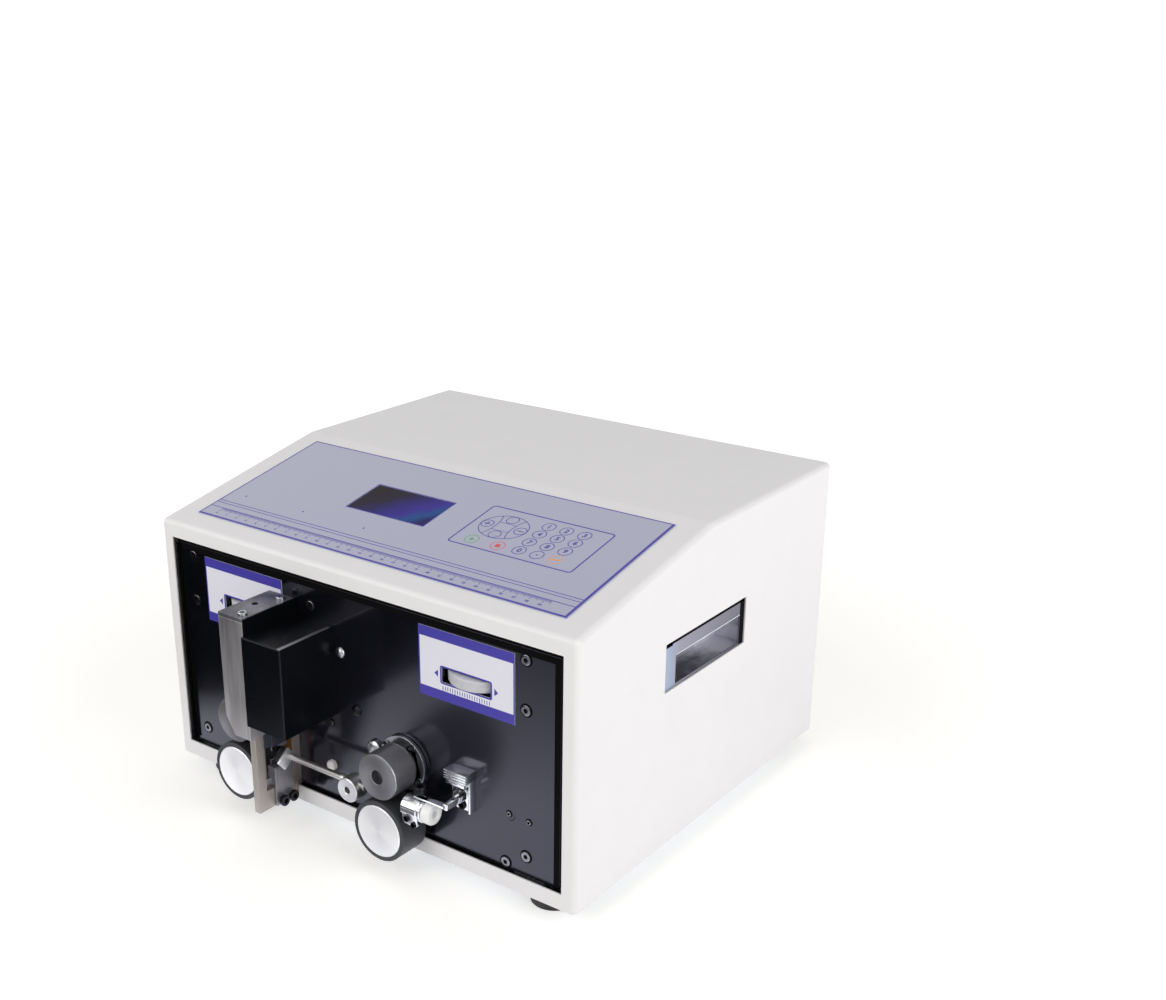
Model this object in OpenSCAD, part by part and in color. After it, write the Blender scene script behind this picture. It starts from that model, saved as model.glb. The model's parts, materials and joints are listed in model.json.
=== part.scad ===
// Bench-top wire stripping machine: sheet-steel cabinet, with feed rollers and a cutter head
// on a black front plate. Inside the modules x runs to the right, y from the cabinet front to
// its back, z up from the cabinet bottom.
// The last lines set the whole machine on its feet, with the origin under the middle of its box.

/* [Cabinet] */
// Width of the cabinet
cab_w = 370; // [340:5:420]
// Depth of the cabinet
cab_d = 324; // [300:4:380]
// Height of the front face
front_h = 189; // [180:1:200]
// Rise of the flat top over the front face
back_h = 31; // [23:1:51]
// Depth at which the sloping panel meets the flat top
bend_y = 154; // [150:1:180]
// Thickness of the cabinet sheet
sheet = 1.5; // [1:0.1:2]
// Radius of the bent edges
edge_r = 4; // [2:0.5:5]

/* [Front opening] */
// Margin beside the front opening
side_rim = 10.5; // [8:0.5:14]
// Margin under the front opening
low_rim = 11.5; // [9:0.5:13]
// Margin above the front opening
top_rim = 12; // [9:0.5:14]
// Gap seen all round the front plate
plate_gap = 4; // [2:0.5:6]
// How far the front plate sits behind the cabinet front
plate_set = 4; // [3:0.5:6]
// Thickness of the front plate
plate_t = 3; // [2:0.5:4]

/* [Feet] */
// Radius of a foot at the floor
foot_r = 14; // [10:1:18]
// Height of a foot
foot_h = 12; // [9:1:16]
// Distance from the cabinet sides to a foot's middle
foot_side = 36; // [30:1:44]
// Distance from the cabinet front and back to a foot's middle
foot_end = 27; // [24:1:40]

/* [Hand grips] */
// Length of the hand hole
grip_l = 105; // [90:5:120]
// Height of the hand hole
grip_h = 35; // [28:1:40]
// Distance from the cabinet front to the hand hole
grip_y = 100; // [90:5:110]
// Height of the hand hole's lower edge
grip_z = 116.6; // [110:0.2:122]
// Depth of the hand pocket
grip_in = 24; // [18:1:30]
// Thickness of the pocket sheet
grip_t = 1.2; // [0.8:0.1:1.6]

/* [Control panel] */
// Width of the panel
panel_w = 328; // [300:2:332]
// Length of the panel up the slope
panel_l = 126; // [120:1:132]
// Distance from the front edge of the slope to the panel
panel_v = 17.7; // [14:0.1:20]
// Thickness of the panel
panel_t = 0.8; // [0.5:0.1:1.2]
// Width of the display window
lcd_w = 71; // [60:1:76]
// Height of the display window
lcd_l = 35.5; // [30:0.5:40]
// Distance from the middle of the panel to the display's middle, to the left
lcd_left = 29.5; // [20:0.5:40]
// Distance from the front edge of the slope to the display
lcd_v = 71; // [66:0.5:76]

/* [Rollers] */
// Distance from the cabinet middle to the right rollers
right_x = 42; // [38:1:48]
// Distance from the cabinet middle to the left rollers
left_x = 95; // [95:1:98]
// Height of the lower roller axes
low_z = 21.5; // [21:0.5:23]
// Radius of the lower rollers
low_r = 22; // [19:0.5:22.5]
// Thickness of the rubber tyre
tyre_t = 3; // [2:0.5:5]
// Radius of the upper rollers
up_r = 16.5; // [14:0.5:17]
// Gap between the rollers as set
nip = 2.1; // [2:0.1:3]
// Distance from the cabinet front to the roller faces
face_out = 25; // [22:1:28]
// Radius of the roller shafts
shaft_r = 5; // [4:0.5:6]
// Depth of the bore seen in the upper rollers
up_bore_in = 6; // [3:0.5:10]

/* [Gap setting] */
// Radius of a thumbwheel
wheel_r = 24; // [22:0.5:26]
// Thickness of a thumbwheel
wheel_t = 8.5; // [6:0.5:9]
// How far a thumbwheel stands out of the front plate
wheel_out = 4.5; // [3:0.5:6]
// Distance from the cabinet middle to the right thumbwheel
wheel_right = 96.4; // [92:0.2:100]
// Distance from the cabinet middle to the left thumbwheel
wheel_left = 106; // [104:0.5:108]
// Distance from the front opening's top edge down to the thumbwheels' middle
wheel_z = 40.8; // [37:0.2:45]
// Length of the window in a label
slot_w = 40; // [36:1:44]
// Height of the window in a label
slot_h = 10.5; // [10:0.5:13]
// Width of a label
label_w = 78; // [70:1:84]
// Height of a label
label_h = 49; // [44:1:52]
// Thickness of a label
label_t = 0.5; // [0.3:0.1:0.8]

/* [Wire line] */
// Distance from the cabinet front to the wire
wire_out = 15; // [13:0.5:17]
// Outer radius of the conduit tube
tube_r = 1.9; // [1.6:0.1:2.2]
// Bore radius of the conduit tube
tube_bore = 1.2; // [0.8:0.1:1.3]
// Radius of the conduit hub
hub_r = 8.9; // [8:0.1:9.5]
// Distance from the cabinet middle to the conduit pivot
hub_x = 10.5; // [8:0.5:12]
// How far the conduit pivot lies below the wire
hub_drop = 4.5; // [4.5:0.1:5]
// Bore radius of the inlet bush
bush_bore = 2.2; // [2.1:0.1:3]
// Outer radius of the inlet bush
bush_r = 7.6; // [6.5:0.1:8]

/* [Cutter head] */
// Distance from the cabinet middle to the column's left side
col_x = 79.5; // [78:0.5:82]
// Width of the column
col_w = 23.5; // [22.5:0.5:25]
// How far the column stands out from the cabinet front
col_out = 44; // [40:1:48]
// Height of the column's lower end
col_low = 66; // [62:1:70]
// Distance from the front opening's top edge down to the column's top
col_top = 20; // [15:1:27]
// Wall of the column
col_wall = 2.5; // [2:0.1:3]
// Width of the black cover
cover_w = 36; // [30:1:40]
// How far the black cover stands out from the cabinet front
cover_out = 46; // [44:1:50]
// Height of the black cover's lower edge
cover_low = 78.5; // [74:0.5:82]
// Distance from the column's top down to the black cover's top
cover_top = 12.5; // [9:0.5:17]
// Sheet of the black cover
cover_t = 1.2; // [0.8:0.1:1.6]
// Thickness of the blade frame
frame_t = 5.5; // [4.5:0.1:6]
// How far the blade frame stands out from the cabinet front
frame_out = 38; // [36:0.5:40]
// Height of the blade frame's lower end
frame_low = 5.2; // [4:0.2:6]
// Distance between the blade edges when open
blade_gap = 7; // [6:0.5:8]
// Travel of each blade
blade_travel = 5; // [4:0.5:6]
// Thickness of a blade
blade_t = 1.5; // [1:0.1:1.8]

/* [Drive] */
// Side of a feed motor's square face
motor_w = 57; // [50:1:60]
// Length of a feed motor
motor_l = 52; // [45:1:60]
// Side of the cutter motor's square face
cut_w = 42; // [38:1:44]
// Length of the cutter motor
cut_l = 60; // [50:1:66]
// Radius of the pulleys on the lower roller shafts
drive_r = 16; // [12:0.5:17]
// Width of the drive belts
belt_w = 9; // [6:0.5:10]
// Thickness of the drive belts
belt_t = 1.4; // [1:0.1:2]

/* [Rear] */
// Side of the fan
fan_w = 60; // [50:5:80]
// Depth of the fan
fan_d = 20; // [15:1:25]
// Distance from the cabinet's right side to the fan's middle
fan_x = 90; // [65:5:105]
// Height of the fan's middle
fan_z = 120; // [100:5:150]
// Width of the mains inlet
inlet_w = 30; // [27:1:34]
// Height of the mains inlet
inlet_h = 24; // [20:1:28]
// Distance from the cabinet's left side to the mains inlet's middle
mains_x = 65; // [45:5:85]
// Height of the mains inlet's middle
mains_z = 45; // [40:1:60]

/* [Hidden] */
$fn = 64;

// Gaps: between pieces that move, in a running bore, round a fixed piece; and the overrun of a cut
play = 0.3;
run = 0.05;
fit = 0.2;
over = 1;

// Socket screws: shank and head radius, head height
screw_r = 2;
head_r = 4;
head_h = 2.6;
small_r = 1.5;
small_head_r = 2.8;
small_head_h = 1.6;

// Cabinet
top_h = front_h + back_h;
slope_a = atan(back_h / bend_y);
half_w = cab_w / 2;
open_x = half_w - side_rim;
open_top = front_h - top_rim;
wheel_mid = open_top - wheel_z;
col_head = open_top - col_top;
cover_head = col_head - cover_top;
mains_at = half_w - mains_x;
fan_at = half_w - fan_x;
tail = 3 * edge_r;
pan_lip = 14;
rear_lip = 12;
lip_x = half_w - sheet - rear_lip / 2;
rear_rows_share = [0.2, 0.5, 0.8];
rear_out = 4;
frame_front = 15;
frame_rear = 6;
frame_head = 12.5;
frame_foot = 1.6;

// Front plate and the rows of its screws
plate_x = open_x - plate_gap;
plate_low = low_rim + plate_gap / 2;
plate_top = open_top - plate_gap;
plate_y = plate_set;
plate_back = plate_y + plate_t;
right_row_share = 0.845;
left_row_share = 0.922;
middle_row_share = 0.735;
right_row = plate_x * right_row_share;
left_row = -plate_x * left_row_share;
upper_row = plate_top - 2 * head_r;
middle_row = plate_low + (plate_top - plate_low) * middle_row_share;
lower_row = plate_low + 3.2 * head_r;
rows = [upper_row, middle_row, lower_row];
ledge_screw = [127.6, plate_low + 1.2 * head_r];
bracket_t = 3;
bracket_w = 24;

// Rollers, their shafts and pulleys
nip_z = low_z + low_r + nip / 2;
up_z = low_z + low_r + nip + up_r;
roller_back = 1;
collar_t = 4;
collar_r = 13;
flange_r = 19.5;
flange_screw_at = 17;
flange_screw_r = 2.4;
flange_screw_turn = 33;
flange_t = 2.7;
neck_r = 13;
block_r = 14;
block_l = 28;
pulley_gap = 8;
pulley_y = plate_back + block_l + pulley_gap;
pulley_end = pulley_y + belt_w;
motor_pulley_r = 9;

// Gap arms: each turns on a bolt in the front plate and is lifted by the screw of its thumbwheel
arm_t = 8;
arm_h = 22;
arm_gap = 4;
arm_y = plate_back + arm_gap;
right_pivot = [131, 52.5];
left_pivot = [-25, 70.7];
pivot_r = 4;
rise = 4;
drop = nip - play;
wheel_y = plate_y - wheel_out + wheel_r;
wheel_screw_r = 4;
lug_w = 20;
lug_h = 12;
cup_t = 3;
lug_play = 1;
lug_hole_r = wheel_screw_r + lug_play;
buffer = [-25, 37.5];
buffer_r = 4.3;
buffer_t = 4;
label_drop = 18.2;
dome_r = 5;
dome_drop = 46;
high_dome = [-11.6, plate_top - dome_drop];
low_dome = [-0.8, 87.3];
domes = [high_dome, low_dome];
stop_cap = [15.5, 64];
stop_cap_r = 6;
spare_drop = 18;
spare_screw = [-40, plate_top - spare_drop];
boss_wall = 3;
wheel_clear = 2;

// Wire line and conduit
wire_y = -wire_out;
wire_z = nip_z;
hub_z = wire_z - hub_drop;
hub_face = -21;
hub_back = -9;
hub_bore = 2.5;
conduit_r = 3;
tube_end = 49;
nose_l = 6;
nose_h = 12;
nose_w = 8;
nose_tilt = 35;
funnel_l = 4.5;
funnel_r = 3.4;
funnel_x = hub_x + hub_r;
swing_motor_r = 14;
swing_motor_l = 26;

// Inlet guide
guide_x0 = 60;
guide_step = 1;
guide_x1 = 74;
bush_x1 = 84.5;
guide_r = 8;
guide_rim_t = 2.5;
link_t = 6;
link_z = wire_z + guide_r + link_t / 2;
link_w = 7;
arm_x = 94;
arm_w = 8;
seat_x0 = 86;
seat_x1 = 103;
seat_z0 = 45;
seat_z1 = 68;
seat_t = 3;
knob_r = 9;
knob_h = 7;

// Cutter head
col_left = -col_x;
col_right = col_left + col_w;
corner_w = 8;
corner_h = 13.5;
corner_wall = 1.5;
cap_t = 3;
frame_x1 = col_right - col_wall;
frame_x0 = frame_x1 - frame_t;
frame_mid = (frame_x0 + frame_x1) / 2;
slot_front = 15;
slot_rear = 11;
slot_head = 15;
slot_y0 = wire_y - slot_front;
slot_y1 = wire_y + slot_rear;
slot_low = 20;
slot_top = col_head - slot_head;
window_front = 11;
window_rear = 9.5;
column_screw_front = 1;
column_screw_side = 0.5;
holder_w = 17;
proud = 2.2;
gib_t = slot_y1 - wire_y - holder_w / 2 - play;
lead_x = (col_left + col_wall + frame_x0) / 2;
lead_r = 4;
nut_w = 14;
nut_side = 1;
nut_gap = 1;
nut_apart = 4;
nut_share = 0.1713;
blade_w = 14;
blade_in = 10;
notch_w = 2.5;
notch_h = blade_travel - blade_gap / 2 - run;
low_edge = wire_z - blade_gap / 2;
up_edge = wire_z + blade_gap / 2;
low_holder_top = low_edge - blade_travel;
up_holder_low = up_edge + blade_travel;
holder_front = 10;
holder_foot_gap = 0.4;
low_holder_foot = frame_low + holder_foot_gap;
low_block_gap = 2;
low_block = slot_low + low_block_gap;
lead_z0 = col_low + corner_h + play;
timing_r = 4.5;
timing_gap = 1;
timing_z = col_head - cap_t - belt_w - timing_gap;
nut_h = nut_share * (timing_z - lead_z0);
low_nut_z = lead_z0 + nut_gap;
up_nut_z = low_nut_z + nut_h + 2 * blade_travel + nut_apart;
stem_w = 5;
stem_gap = 1;
cut_motor_y = 78;
cut_shaft_r = 2.5;
cut_shaft_out = 14;
cut_leg_gap = 5;
cut_top = timing_z - cut_shaft_out;
cut_leg_y = cut_motor_y + cut_w / 2 + cut_leg_gap;
journal_r = 2.5;
journal_h = 2;
holder_screw_r = 4.2;
holder_screw_up = 4.7;
holder_screw_z = frame_low + holder_screw_up;

// Feed motors
motor_dx = 53;
motor_in = 76;
motor_xs = [-left_x + motor_in, right_x + motor_dx];
motor_z = 45;
motor_gap = 4;
motor_y = pulley_end + motor_gap;
bracket_over = 1;
motor_shaft_r = 3;
motor_boss_r = 19;

// Display and keypad
lcd_rim = 4;
lcd_t = 6;
key_x0 = 34;
key_x1 = 136;
key_v0 = 62;
key_v1 = 116;
key_plug = 12;

// Vent, fan, inlet and switch in the rear panel
vent_r = 2.2;
vent_step = 5.5;
vent_rings = floor((fan_w / 2 - 2 * vent_r) / vent_step);
fan_screw_in = 5;
fan_blades = 7;
fan_hub_r = 13;
fan_gap = 1.2;
rocker_h = 19;
rocker_z = mains_z + inlet_h / 2 + sheet + rocker_h / 2;
rocker_w = 14;
rocker_t = 10;
rocker_low_share = 0.2;
rocker_tip_share = 0.92;
rocker_top_share = 0.62;
rocker_nose_share = 0.72;
inlet_wall = 2;
inlet_in = 22;
pin_w = 4;
pin_t = 2;

// Circuit board and transformer
board_x0 = -10;
board_side = 35;
board_front = 42;
board_rear = 59;
board_x1 = half_w - board_side;
board_y0 = motor_y + motor_l + board_front;
board_y1 = cab_d - board_rear;
board_z = 9;
board_t = 1.6;
post_r = 3;
core_w = 68;
core_l = 56;
core_rear = 78;
mains_y = cab_d - core_rear - core_l;
core_h = 58;
coil_out = 9;

// The origin lies under the middle of the box that holds the machine
box_front = -cover_out;
box_back = cab_d + inlet_wall;
y_shift = -(box_front + box_back) / 2;

// Basic shapes, given by their limits
module span(a, b) { translate(a) cube(b - a); }
module rod_x(y, z, x0, x1, r) { translate([x0, y, z]) rotate([0, 90, 0]) cylinder(r = r, h = x1 - x0); }
module rod_y(x, z, y0, y1, r) { translate([x, y0, z]) rotate([-90, 0, 0]) cylinder(r = r, h = y1 - y0); }
module rod_z(x, y, z0, z1, r) { translate([x, y, z0]) cylinder(r = r, h = z1 - z0); }
module both_sides() { children(); mirror([1, 0, 0]) children(); }
module on_slope() { translate([0, 0, front_h]) rotate([slope_a, 0, 0]) children(); }
module stand() { translate([0, y_shift, foot_h]) children(); }

// A socket screw whose head stands on the plane z = 0, with the shank below
module socket_screw(length, r = screw_r, head = head_r, h = head_h) {
    difference() {
        union() {
            cylinder(r = head, h = h);
            translate([0, 0, -length]) cylinder(r = r, h = length + h / 2);
        }
        translate([0, 0, h / 3]) cylinder(r = head / 2, h = h, $fn = 6);
    }
}
module front_screw(x, y, z, length, r = screw_r, head = head_r, h = head_h) {
    translate([x, y, z]) rotate([90, 0, 0]) socket_screw(length, r, head, h);
}

// Side outline of the cabinet, drawn in by d
module side_outline(d) {
    offset(r = edge_r, $fn = 32) offset(delta = -edge_r - d)
        polygon([[0, -tail], [cab_d + tail, -tail], [cab_d + tail, top_h], [bend_y, top_h],
            [0, front_h]]);
}
// The cabinet's body, drawn in by d, its side edges rounded in steps
module cabinet_body(d) {
    steps = 4;
    hull() for (i = [0 : steps]) {
        turn = 90 * i / steps;
        half = half_w - d - edge_r * (1 - cos(turn));
        translate([-half, 0, 0]) rotate([90, 0, 90]) linear_extrude(2 * half)
            side_outline(d + edge_r * (1 - sin(turn)));
    }
}
module rear_screws_at() {
    for (x = [-lip_x, lip_x], share = rear_rows_share) translate([x, 0, top_h * share]) children();
}
module cabinet_cover() {
    color("ivory") {
        difference() {
            cabinet_body(0);
            cabinet_body(sheet);
            span([-cab_w, -cab_d, -cab_d], [cab_w, 2 * cab_d, 0]);
            span([-cab_w, cab_d, -cab_d], [cab_w, 2 * cab_d, 2 * top_h]);
            // front opening and hand holes
            span([-open_x, -over, low_rim], [open_x, sheet + over, open_top]);
            span([-cab_w, grip_y, grip_z], [cab_w, grip_y + grip_l, grip_z + grip_h]);
            // window for the display
            on_slope() span([-lcd_left - lcd_w / 2 - play, lcd_v - play, -sheet - over],
                [-lcd_left + lcd_w / 2 + play, lcd_v + lcd_l + play, over]);
        }
        // lips that the rear panel is screwed to
        difference() {
            both_sides() span([half_w - sheet - rear_lip, cab_d - 2 * sheet, pan_lip + 2 * sheet],
                [half_w - sheet / 2, cab_d - sheet, top_h - 2 * sheet - edge_r]);
            rear_screws_at() rod_y(0, 0, 0, cab_d + over, small_r);
        }
    }
}
module feet_at() {
    for (x = [-half_w + foot_side, half_w - foot_side], y = [foot_end, cab_d - foot_end])
        translate([x, y, 0]) children();
}
module base_pan() {
    x = half_w - sheet - fit;
    color("silver") difference() {
        intersection() {
            cabinet_body(sheet + fit);
            span([-x, sheet + fit, 0], [x, cab_d - sheet - fit, pan_lip]);
        }
        intersection() {
            cabinet_body(2 * sheet + fit);
            span([-x + sheet, 2 * sheet + fit, sheet],
                [x - sheet, cab_d - 2 * sheet - fit, pan_lip + over]);
        }
        span([-x + sheet, -over, low_rim - sheet], [x - sheet, 3 * sheet, pan_lip + over]);
        feet_at() translate([0, 0, -over]) cylinder(r = screw_r + fit, h = 3 * sheet);
    }
}
module rear_panel() {
    color("ivory") difference() {
        intersection() {
            cabinet_body(sheet + fit);
            span([-half_w, cab_d - sheet, sheet + fit], [half_w, cab_d, top_h]);
        }
        rear_screws_at() rod_y(0, 0, 0, cab_d + over, small_r + fit);
        // vent holes in rings over the fan
        for (ring = [0 : vent_rings], i = [0 : max(0, 6 * ring - 1)])
            rod_y(fan_at + ring * vent_step * cos(60 * i / max(1, ring)),
                fan_z + ring * vent_step * sin(60 * i / max(1, ring)), cab_d - 2 * sheet, cab_d + over,
                    vent_r);
        fan_screws_at() rod_y(0, 0, 0, cab_d + over, small_r + fit);
        mains_window(fit, cab_d - 2 * sheet, cab_d + over);
    }
}
module mains_window(d, y0, y1) {
    span([-mains_at - inlet_w / 2 - d, y0, mains_z - inlet_h / 2 - d],
        [-mains_at + inlet_w / 2 + d, y1, mains_z + inlet_h / 2 + rocker_h + 3 * sheet + d]);
}
module rubber_feet() {
    color("black") feet_at() difference() {
        translate([0, 0, -foot_h]) cylinder(r1 = foot_r, r2 = foot_r - foot_h / 6, h = foot_h);
        translate([0, 0, -foot_h - over]) cylinder(r = head_r + fit, h = foot_h / 2 + over);
        translate([0, 0, -foot_h]) cylinder(r = screw_r, h = foot_h + over);
    }
}
module case_screws() {
    color("silver") {
        feet_at() translate([0, 0, -foot_h / 2]) mirror([0, 0, 1]) socket_screw(foot_h / 2 + 2 * sheet);
        rear_screws_at() translate([0, cab_d, 0]) rotate([-90, 0, 0])
            socket_screw(3 * sheet, small_r, small_head_r, small_head_h);
        fan_screws_at() translate([0, cab_d, 0]) rotate([-90, 0, 0])
            socket_screw(fan_d / 2, small_r, small_head_r, small_head_h);
    }
}

// Front plate and what is fixed to it
module plate_screws_at() {
    for (x = [left_row, right_row], z = rows) translate([x, plate_y, z]) children();
}
module pivots_at() { for (p = [right_pivot, left_pivot]) translate([p[0], plate_y, p[1]]) children(); }
module front_plate() {
    slot_x = slot_w / 2;
    color("#15161a") difference() {
        span([-plate_x, plate_y, plate_low], [plate_x, plate_back, plate_top]);
        plate_screws_at() rod_y(0, 0, -over, plate_back, screw_r + fit);
        rod_y(spare_screw[0], spare_screw[1], plate_y - over, plate_back + over, screw_r);
        pivots_at() rod_y(0, 0, -over, plate_back, pivot_r);
        rod_y(ledge_screw[0], ledge_screw[1], plate_y - over, plate_back + over, small_r);
        for (x = [-left_x, right_x]) {
            rod_y(x, low_z, plate_y - over, plate_back + over, shaft_r + over);
            // the upper shafts' slots, tall enough for the gap arms' swing
            for (z = [up_z - drop - play, up_z + rise + play])
                rod_y(x, z, plate_y - over, plate_back + over, neck_r + over);
            span([x - neck_r - over, plate_y - over, up_z - drop - play],
                [x + neck_r + over, plate_back + over, up_z + rise + play]);
        }
        for (x = [-wheel_left, wheel_right])
            span([x - slot_x, plate_y - over, wheel_mid - slot_h / 2],
                [x + slot_x, plate_back + over, wheel_mid + slot_h / 2]);
        rod_y(hub_x, hub_z, plate_y - over, plate_back + over, conduit_r + over);
        // window for the cutter's belt, hidden behind the column
        span([col_left + col_wall, plate_y - over, timing_z - over],
            [frame_x1, plate_back + over, col_head - cap_t]);
    }
}
module plate_screws() {
    color("silver") {
        plate_screws_at() rotate([90, 0, 0])
            socket_screw(plate_t + bracket_t, screw_r, head_r, head_h / 2);
        pivots_at() difference() {
            union() {
                rod_y(0, 0, -head_h / 2, 0, pivot_r + 1.4 * fit);
                rod_y(0, 0, -over / 2, arm_y + arm_t + 2 * fit, pivot_r);
                rod_y(0, 0, arm_y + arm_t - plate_y + play, arm_y + arm_t - plate_y + head_h,
                    pivot_r + head_h / 2);
            }
            translate([0, -head_h / 4, 0]) rotate([90, 0, 0])
                cylinder(r = pivot_r / 2, h = head_h, $fn = 6);
        }
        front_screw(ledge_screw[0], plate_y, ledge_screw[1], plate_t, small_r, small_head_r,
            small_head_h);
        front_screw(spare_screw[0], plate_y, spare_screw[1], plate_t, screw_r, head_r, head_h / 2);
        for (d = domes) intersection() {
            translate([d[0], plate_y + dome_r / 2, d[1]]) sphere(r = dome_r);
            span([d[0] - dome_r, plate_y - dome_r, d[1] - dome_r],
                [d[0] + dome_r, plate_y, d[1] + dome_r]);
        }
        rod_y(stop_cap[0], stop_cap[1], plate_y - buffer_t, plate_y, stop_cap_r);
        // buffer that the conduit tube swings past
        rod_y(buffer[0], buffer[1], plate_y - buffer_t, plate_y, buffer_r);
    }
}
module plate_brackets() {
    color("gray") for (x = [left_row, right_row]) difference() {
        union() {
            span([x - bracket_w / 2, plate_back, sheet],
                [x + bracket_w / 2, plate_back + bracket_t, plate_top]);
            span([x - bracket_w / 2, plate_back, sheet],
                [x + bracket_w / 2, plate_back + bracket_w, sheet + bracket_t]);
        }
        feet_at() translate([0, 0, -foot_h]) cylinder(r = screw_r, h = 2 * foot_h);
        plate_screws_at() rod_y(0, 0, 0, plate_back + bracket_w, screw_r);
        pivots_at() rod_y(0, 0, 0, plate_back + bracket_w, 2 * pivot_r);
    }
}
module handle_pockets() {
    // a deep cup behind a frame that the fingers curl round
    x0 = half_w - sheet - grip_in;
    x1 = half_w - sheet;
    rim = 6 * grip_t;
    color("lightgray") both_sides() difference() {
        union() {
            span([x0, grip_y - grip_t, grip_z - grip_t],
                [x1, grip_y + grip_l + grip_t, grip_z + grip_h + grip_t]);
            span([x1 - grip_t, grip_y - rim, grip_z - rim],
                [x1, grip_y + grip_l + rim, grip_z + grip_h + rim]);
        }
        span([x0 + grip_t, grip_y, grip_z], [x1 - grip_t, grip_y + grip_l, grip_z + grip_h]);
        span([x0 + grip_t, grip_y + frame_front, grip_z + frame_foot],
            [half_w, grip_y + grip_l - frame_rear, grip_z + grip_h - frame_head]);
    }
}

// Control panel
module lcd_area(d, n0, n1) {
    span([-lcd_left - lcd_w / 2 - d, lcd_v - d, n0], [-lcd_left + lcd_w / 2 + d, lcd_v + lcd_l + d, n1]);
}
module panel_overlay() {
    color("lightsteelblue") on_slope() difference() {
        span([-panel_w / 2, panel_v, 0], [panel_w / 2, panel_v + panel_l, panel_t]);
        lcd_area(0, -over, panel_t + over);
    }
}
module lcd_window() { color("midnightblue") on_slope() lcd_area(-fit / 2, -sheet, panel_t - fit); }
module lcd_module() {
    color("darkgreen") on_slope() {
        lcd_area(lcd_rim, -sheet - lcd_t, -sheet);
        lcd_area(2 * lcd_rim, -sheet - lcd_t - sheet, -sheet - lcd_t);
    }
}
module keypad_board() {
    color("darkgreen") on_slope() {
        span([key_x0, key_v0, -2 * sheet], [key_x1, key_v1, -sheet]);
        span([key_x0, key_v0, -2 * sheet - lcd_t], [key_x0 + key_plug, key_v1, -2 * sheet]);
    }
}
module roller_labels() {
    color("slateblue") for (x = [-wheel_left, wheel_right]) difference() {
        span([x - label_w / 2, plate_y - label_t, wheel_mid - label_drop],
            [x + label_w / 2, plate_y, wheel_mid - label_drop + label_h]);
        span([x - slot_w / 2, plate_y - over, wheel_mid - slot_h / 2],
            [x + slot_w / 2, plate_y + over, wheel_mid + slot_h / 2]);
        span([col_left, plate_y - over, col_low], [col_right + cover_t, plate_y + over, col_head]);
        plate_screws_at() rod_y(0, 0, -plate_y, plate_y, head_r + fit);
    }
}

// Rollers: each lower one is driven, each upper one runs idle in its gap arm
module lower_roller(x) {
    color("silver") {
        rod_y(x, low_z, -face_out, -roller_back, low_r - tyre_t);
        rod_y(x, low_z, -roller_back - over, pulley_end, shaft_r);
        rod_y(x, low_z, pulley_y, pulley_end, drive_r);
    }
}
module lower_tyre(x) {
    color("#2a2a2c") difference() {
        rod_y(x, low_z, -face_out + fit, -roller_back, low_r);
        rod_y(x, low_z, -face_out - over, over, low_r - tyre_t);
    }
}
module upper_roller(x) {
    face = -face_out + roller_back / 2;
    back = plate_y - play - flange_t - play;
    color("#6a6b6e") difference() {
        union() {
            rod_y(x, up_z, face, back - collar_t, up_r);
            rod_y(x, up_z, back - collar_t - over, back, collar_r);
            rod_y(x, up_z, back - over, plate_back + block_l + shaft_r, shaft_r);
        }
        rod_y(x, up_z, face - over, face + up_bore_in, shaft_r);
    }
}
module lower_roller_right() lower_roller(right_x);
module lower_roller_left() lower_roller(-left_x);
module lower_tyre_right() lower_tyre(right_x);
module lower_tyre_left() lower_tyre(-left_x);
module upper_roller_right() upper_roller(right_x);
module upper_roller_left() upper_roller(-left_x);
module bearing_blocks() {
    color("dimgray") for (x = [-left_x, right_x]) difference() {
        union() {
            rod_y(x, low_z, plate_back, plate_back + flange_t, flange_r);
            rod_y(x, low_z, plate_back, plate_back + block_l, block_r);
        }
        rod_y(x, low_z, plate_y, pulley_y, shaft_r + run);
    }
}
module motor_pulley(x) {
    color("silver") {
        rod_y(x, motor_z, pulley_y, pulley_end, motor_pulley_r);
        rod_y(x, motor_z, pulley_end - over, motor_y + motor_l / 2, motor_shaft_r);
    }
}
module motor_pulley_right() motor_pulley(motor_xs[1]);
module motor_pulley_left() motor_pulley(motor_xs[0]);
module feed_motors() {
    color("#202022") for (x = motor_xs) difference() {
        span([x - motor_w / 2, motor_y, motor_z - motor_w / 2],
            [x + motor_w / 2, motor_y + motor_l, motor_z + motor_w / 2]);
        rod_y(x, motor_z, motor_y - over, motor_y + motor_l / 2 + play, motor_shaft_r + run);
    }
}
module motor_brackets() {
    half = motor_w / 2 + bracket_over;
    cut_half = cut_w / 2 + bracket_over;
    color("lightgray") {
        for (x = motor_xs) difference() {
            union() {
                span([x - half, motor_y - bracket_t, sheet], [x + half, motor_y, motor_z + half]);
                span([x - half, motor_y - bracket_t, sheet],
                    [x + half, motor_y + motor_l / 2, sheet + bracket_t]);
            }
            rod_y(x, motor_z, motor_y - bracket_t - over, motor_y + over, motor_boss_r);
        }
        difference() {
            union() {
                span([lead_x - cut_half, cut_motor_y - cut_half, cut_top],
                    [lead_x + cut_half, cut_leg_y + bracket_t, cut_top + bracket_t]);
                span([lead_x - cut_half, cut_leg_y, sheet],
                    [lead_x + cut_half, cut_leg_y + bracket_t, cut_top + over]);
                span([lead_x - cut_half, cut_leg_y, sheet],
                    [lead_x + cut_half, cut_leg_y + bracket_w, sheet + bracket_t]);
            }
            rod_z(lead_x, cut_motor_y, cut_top - over, cut_top + bracket_t + over, cut_w / 4);
        }
    }
}
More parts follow.
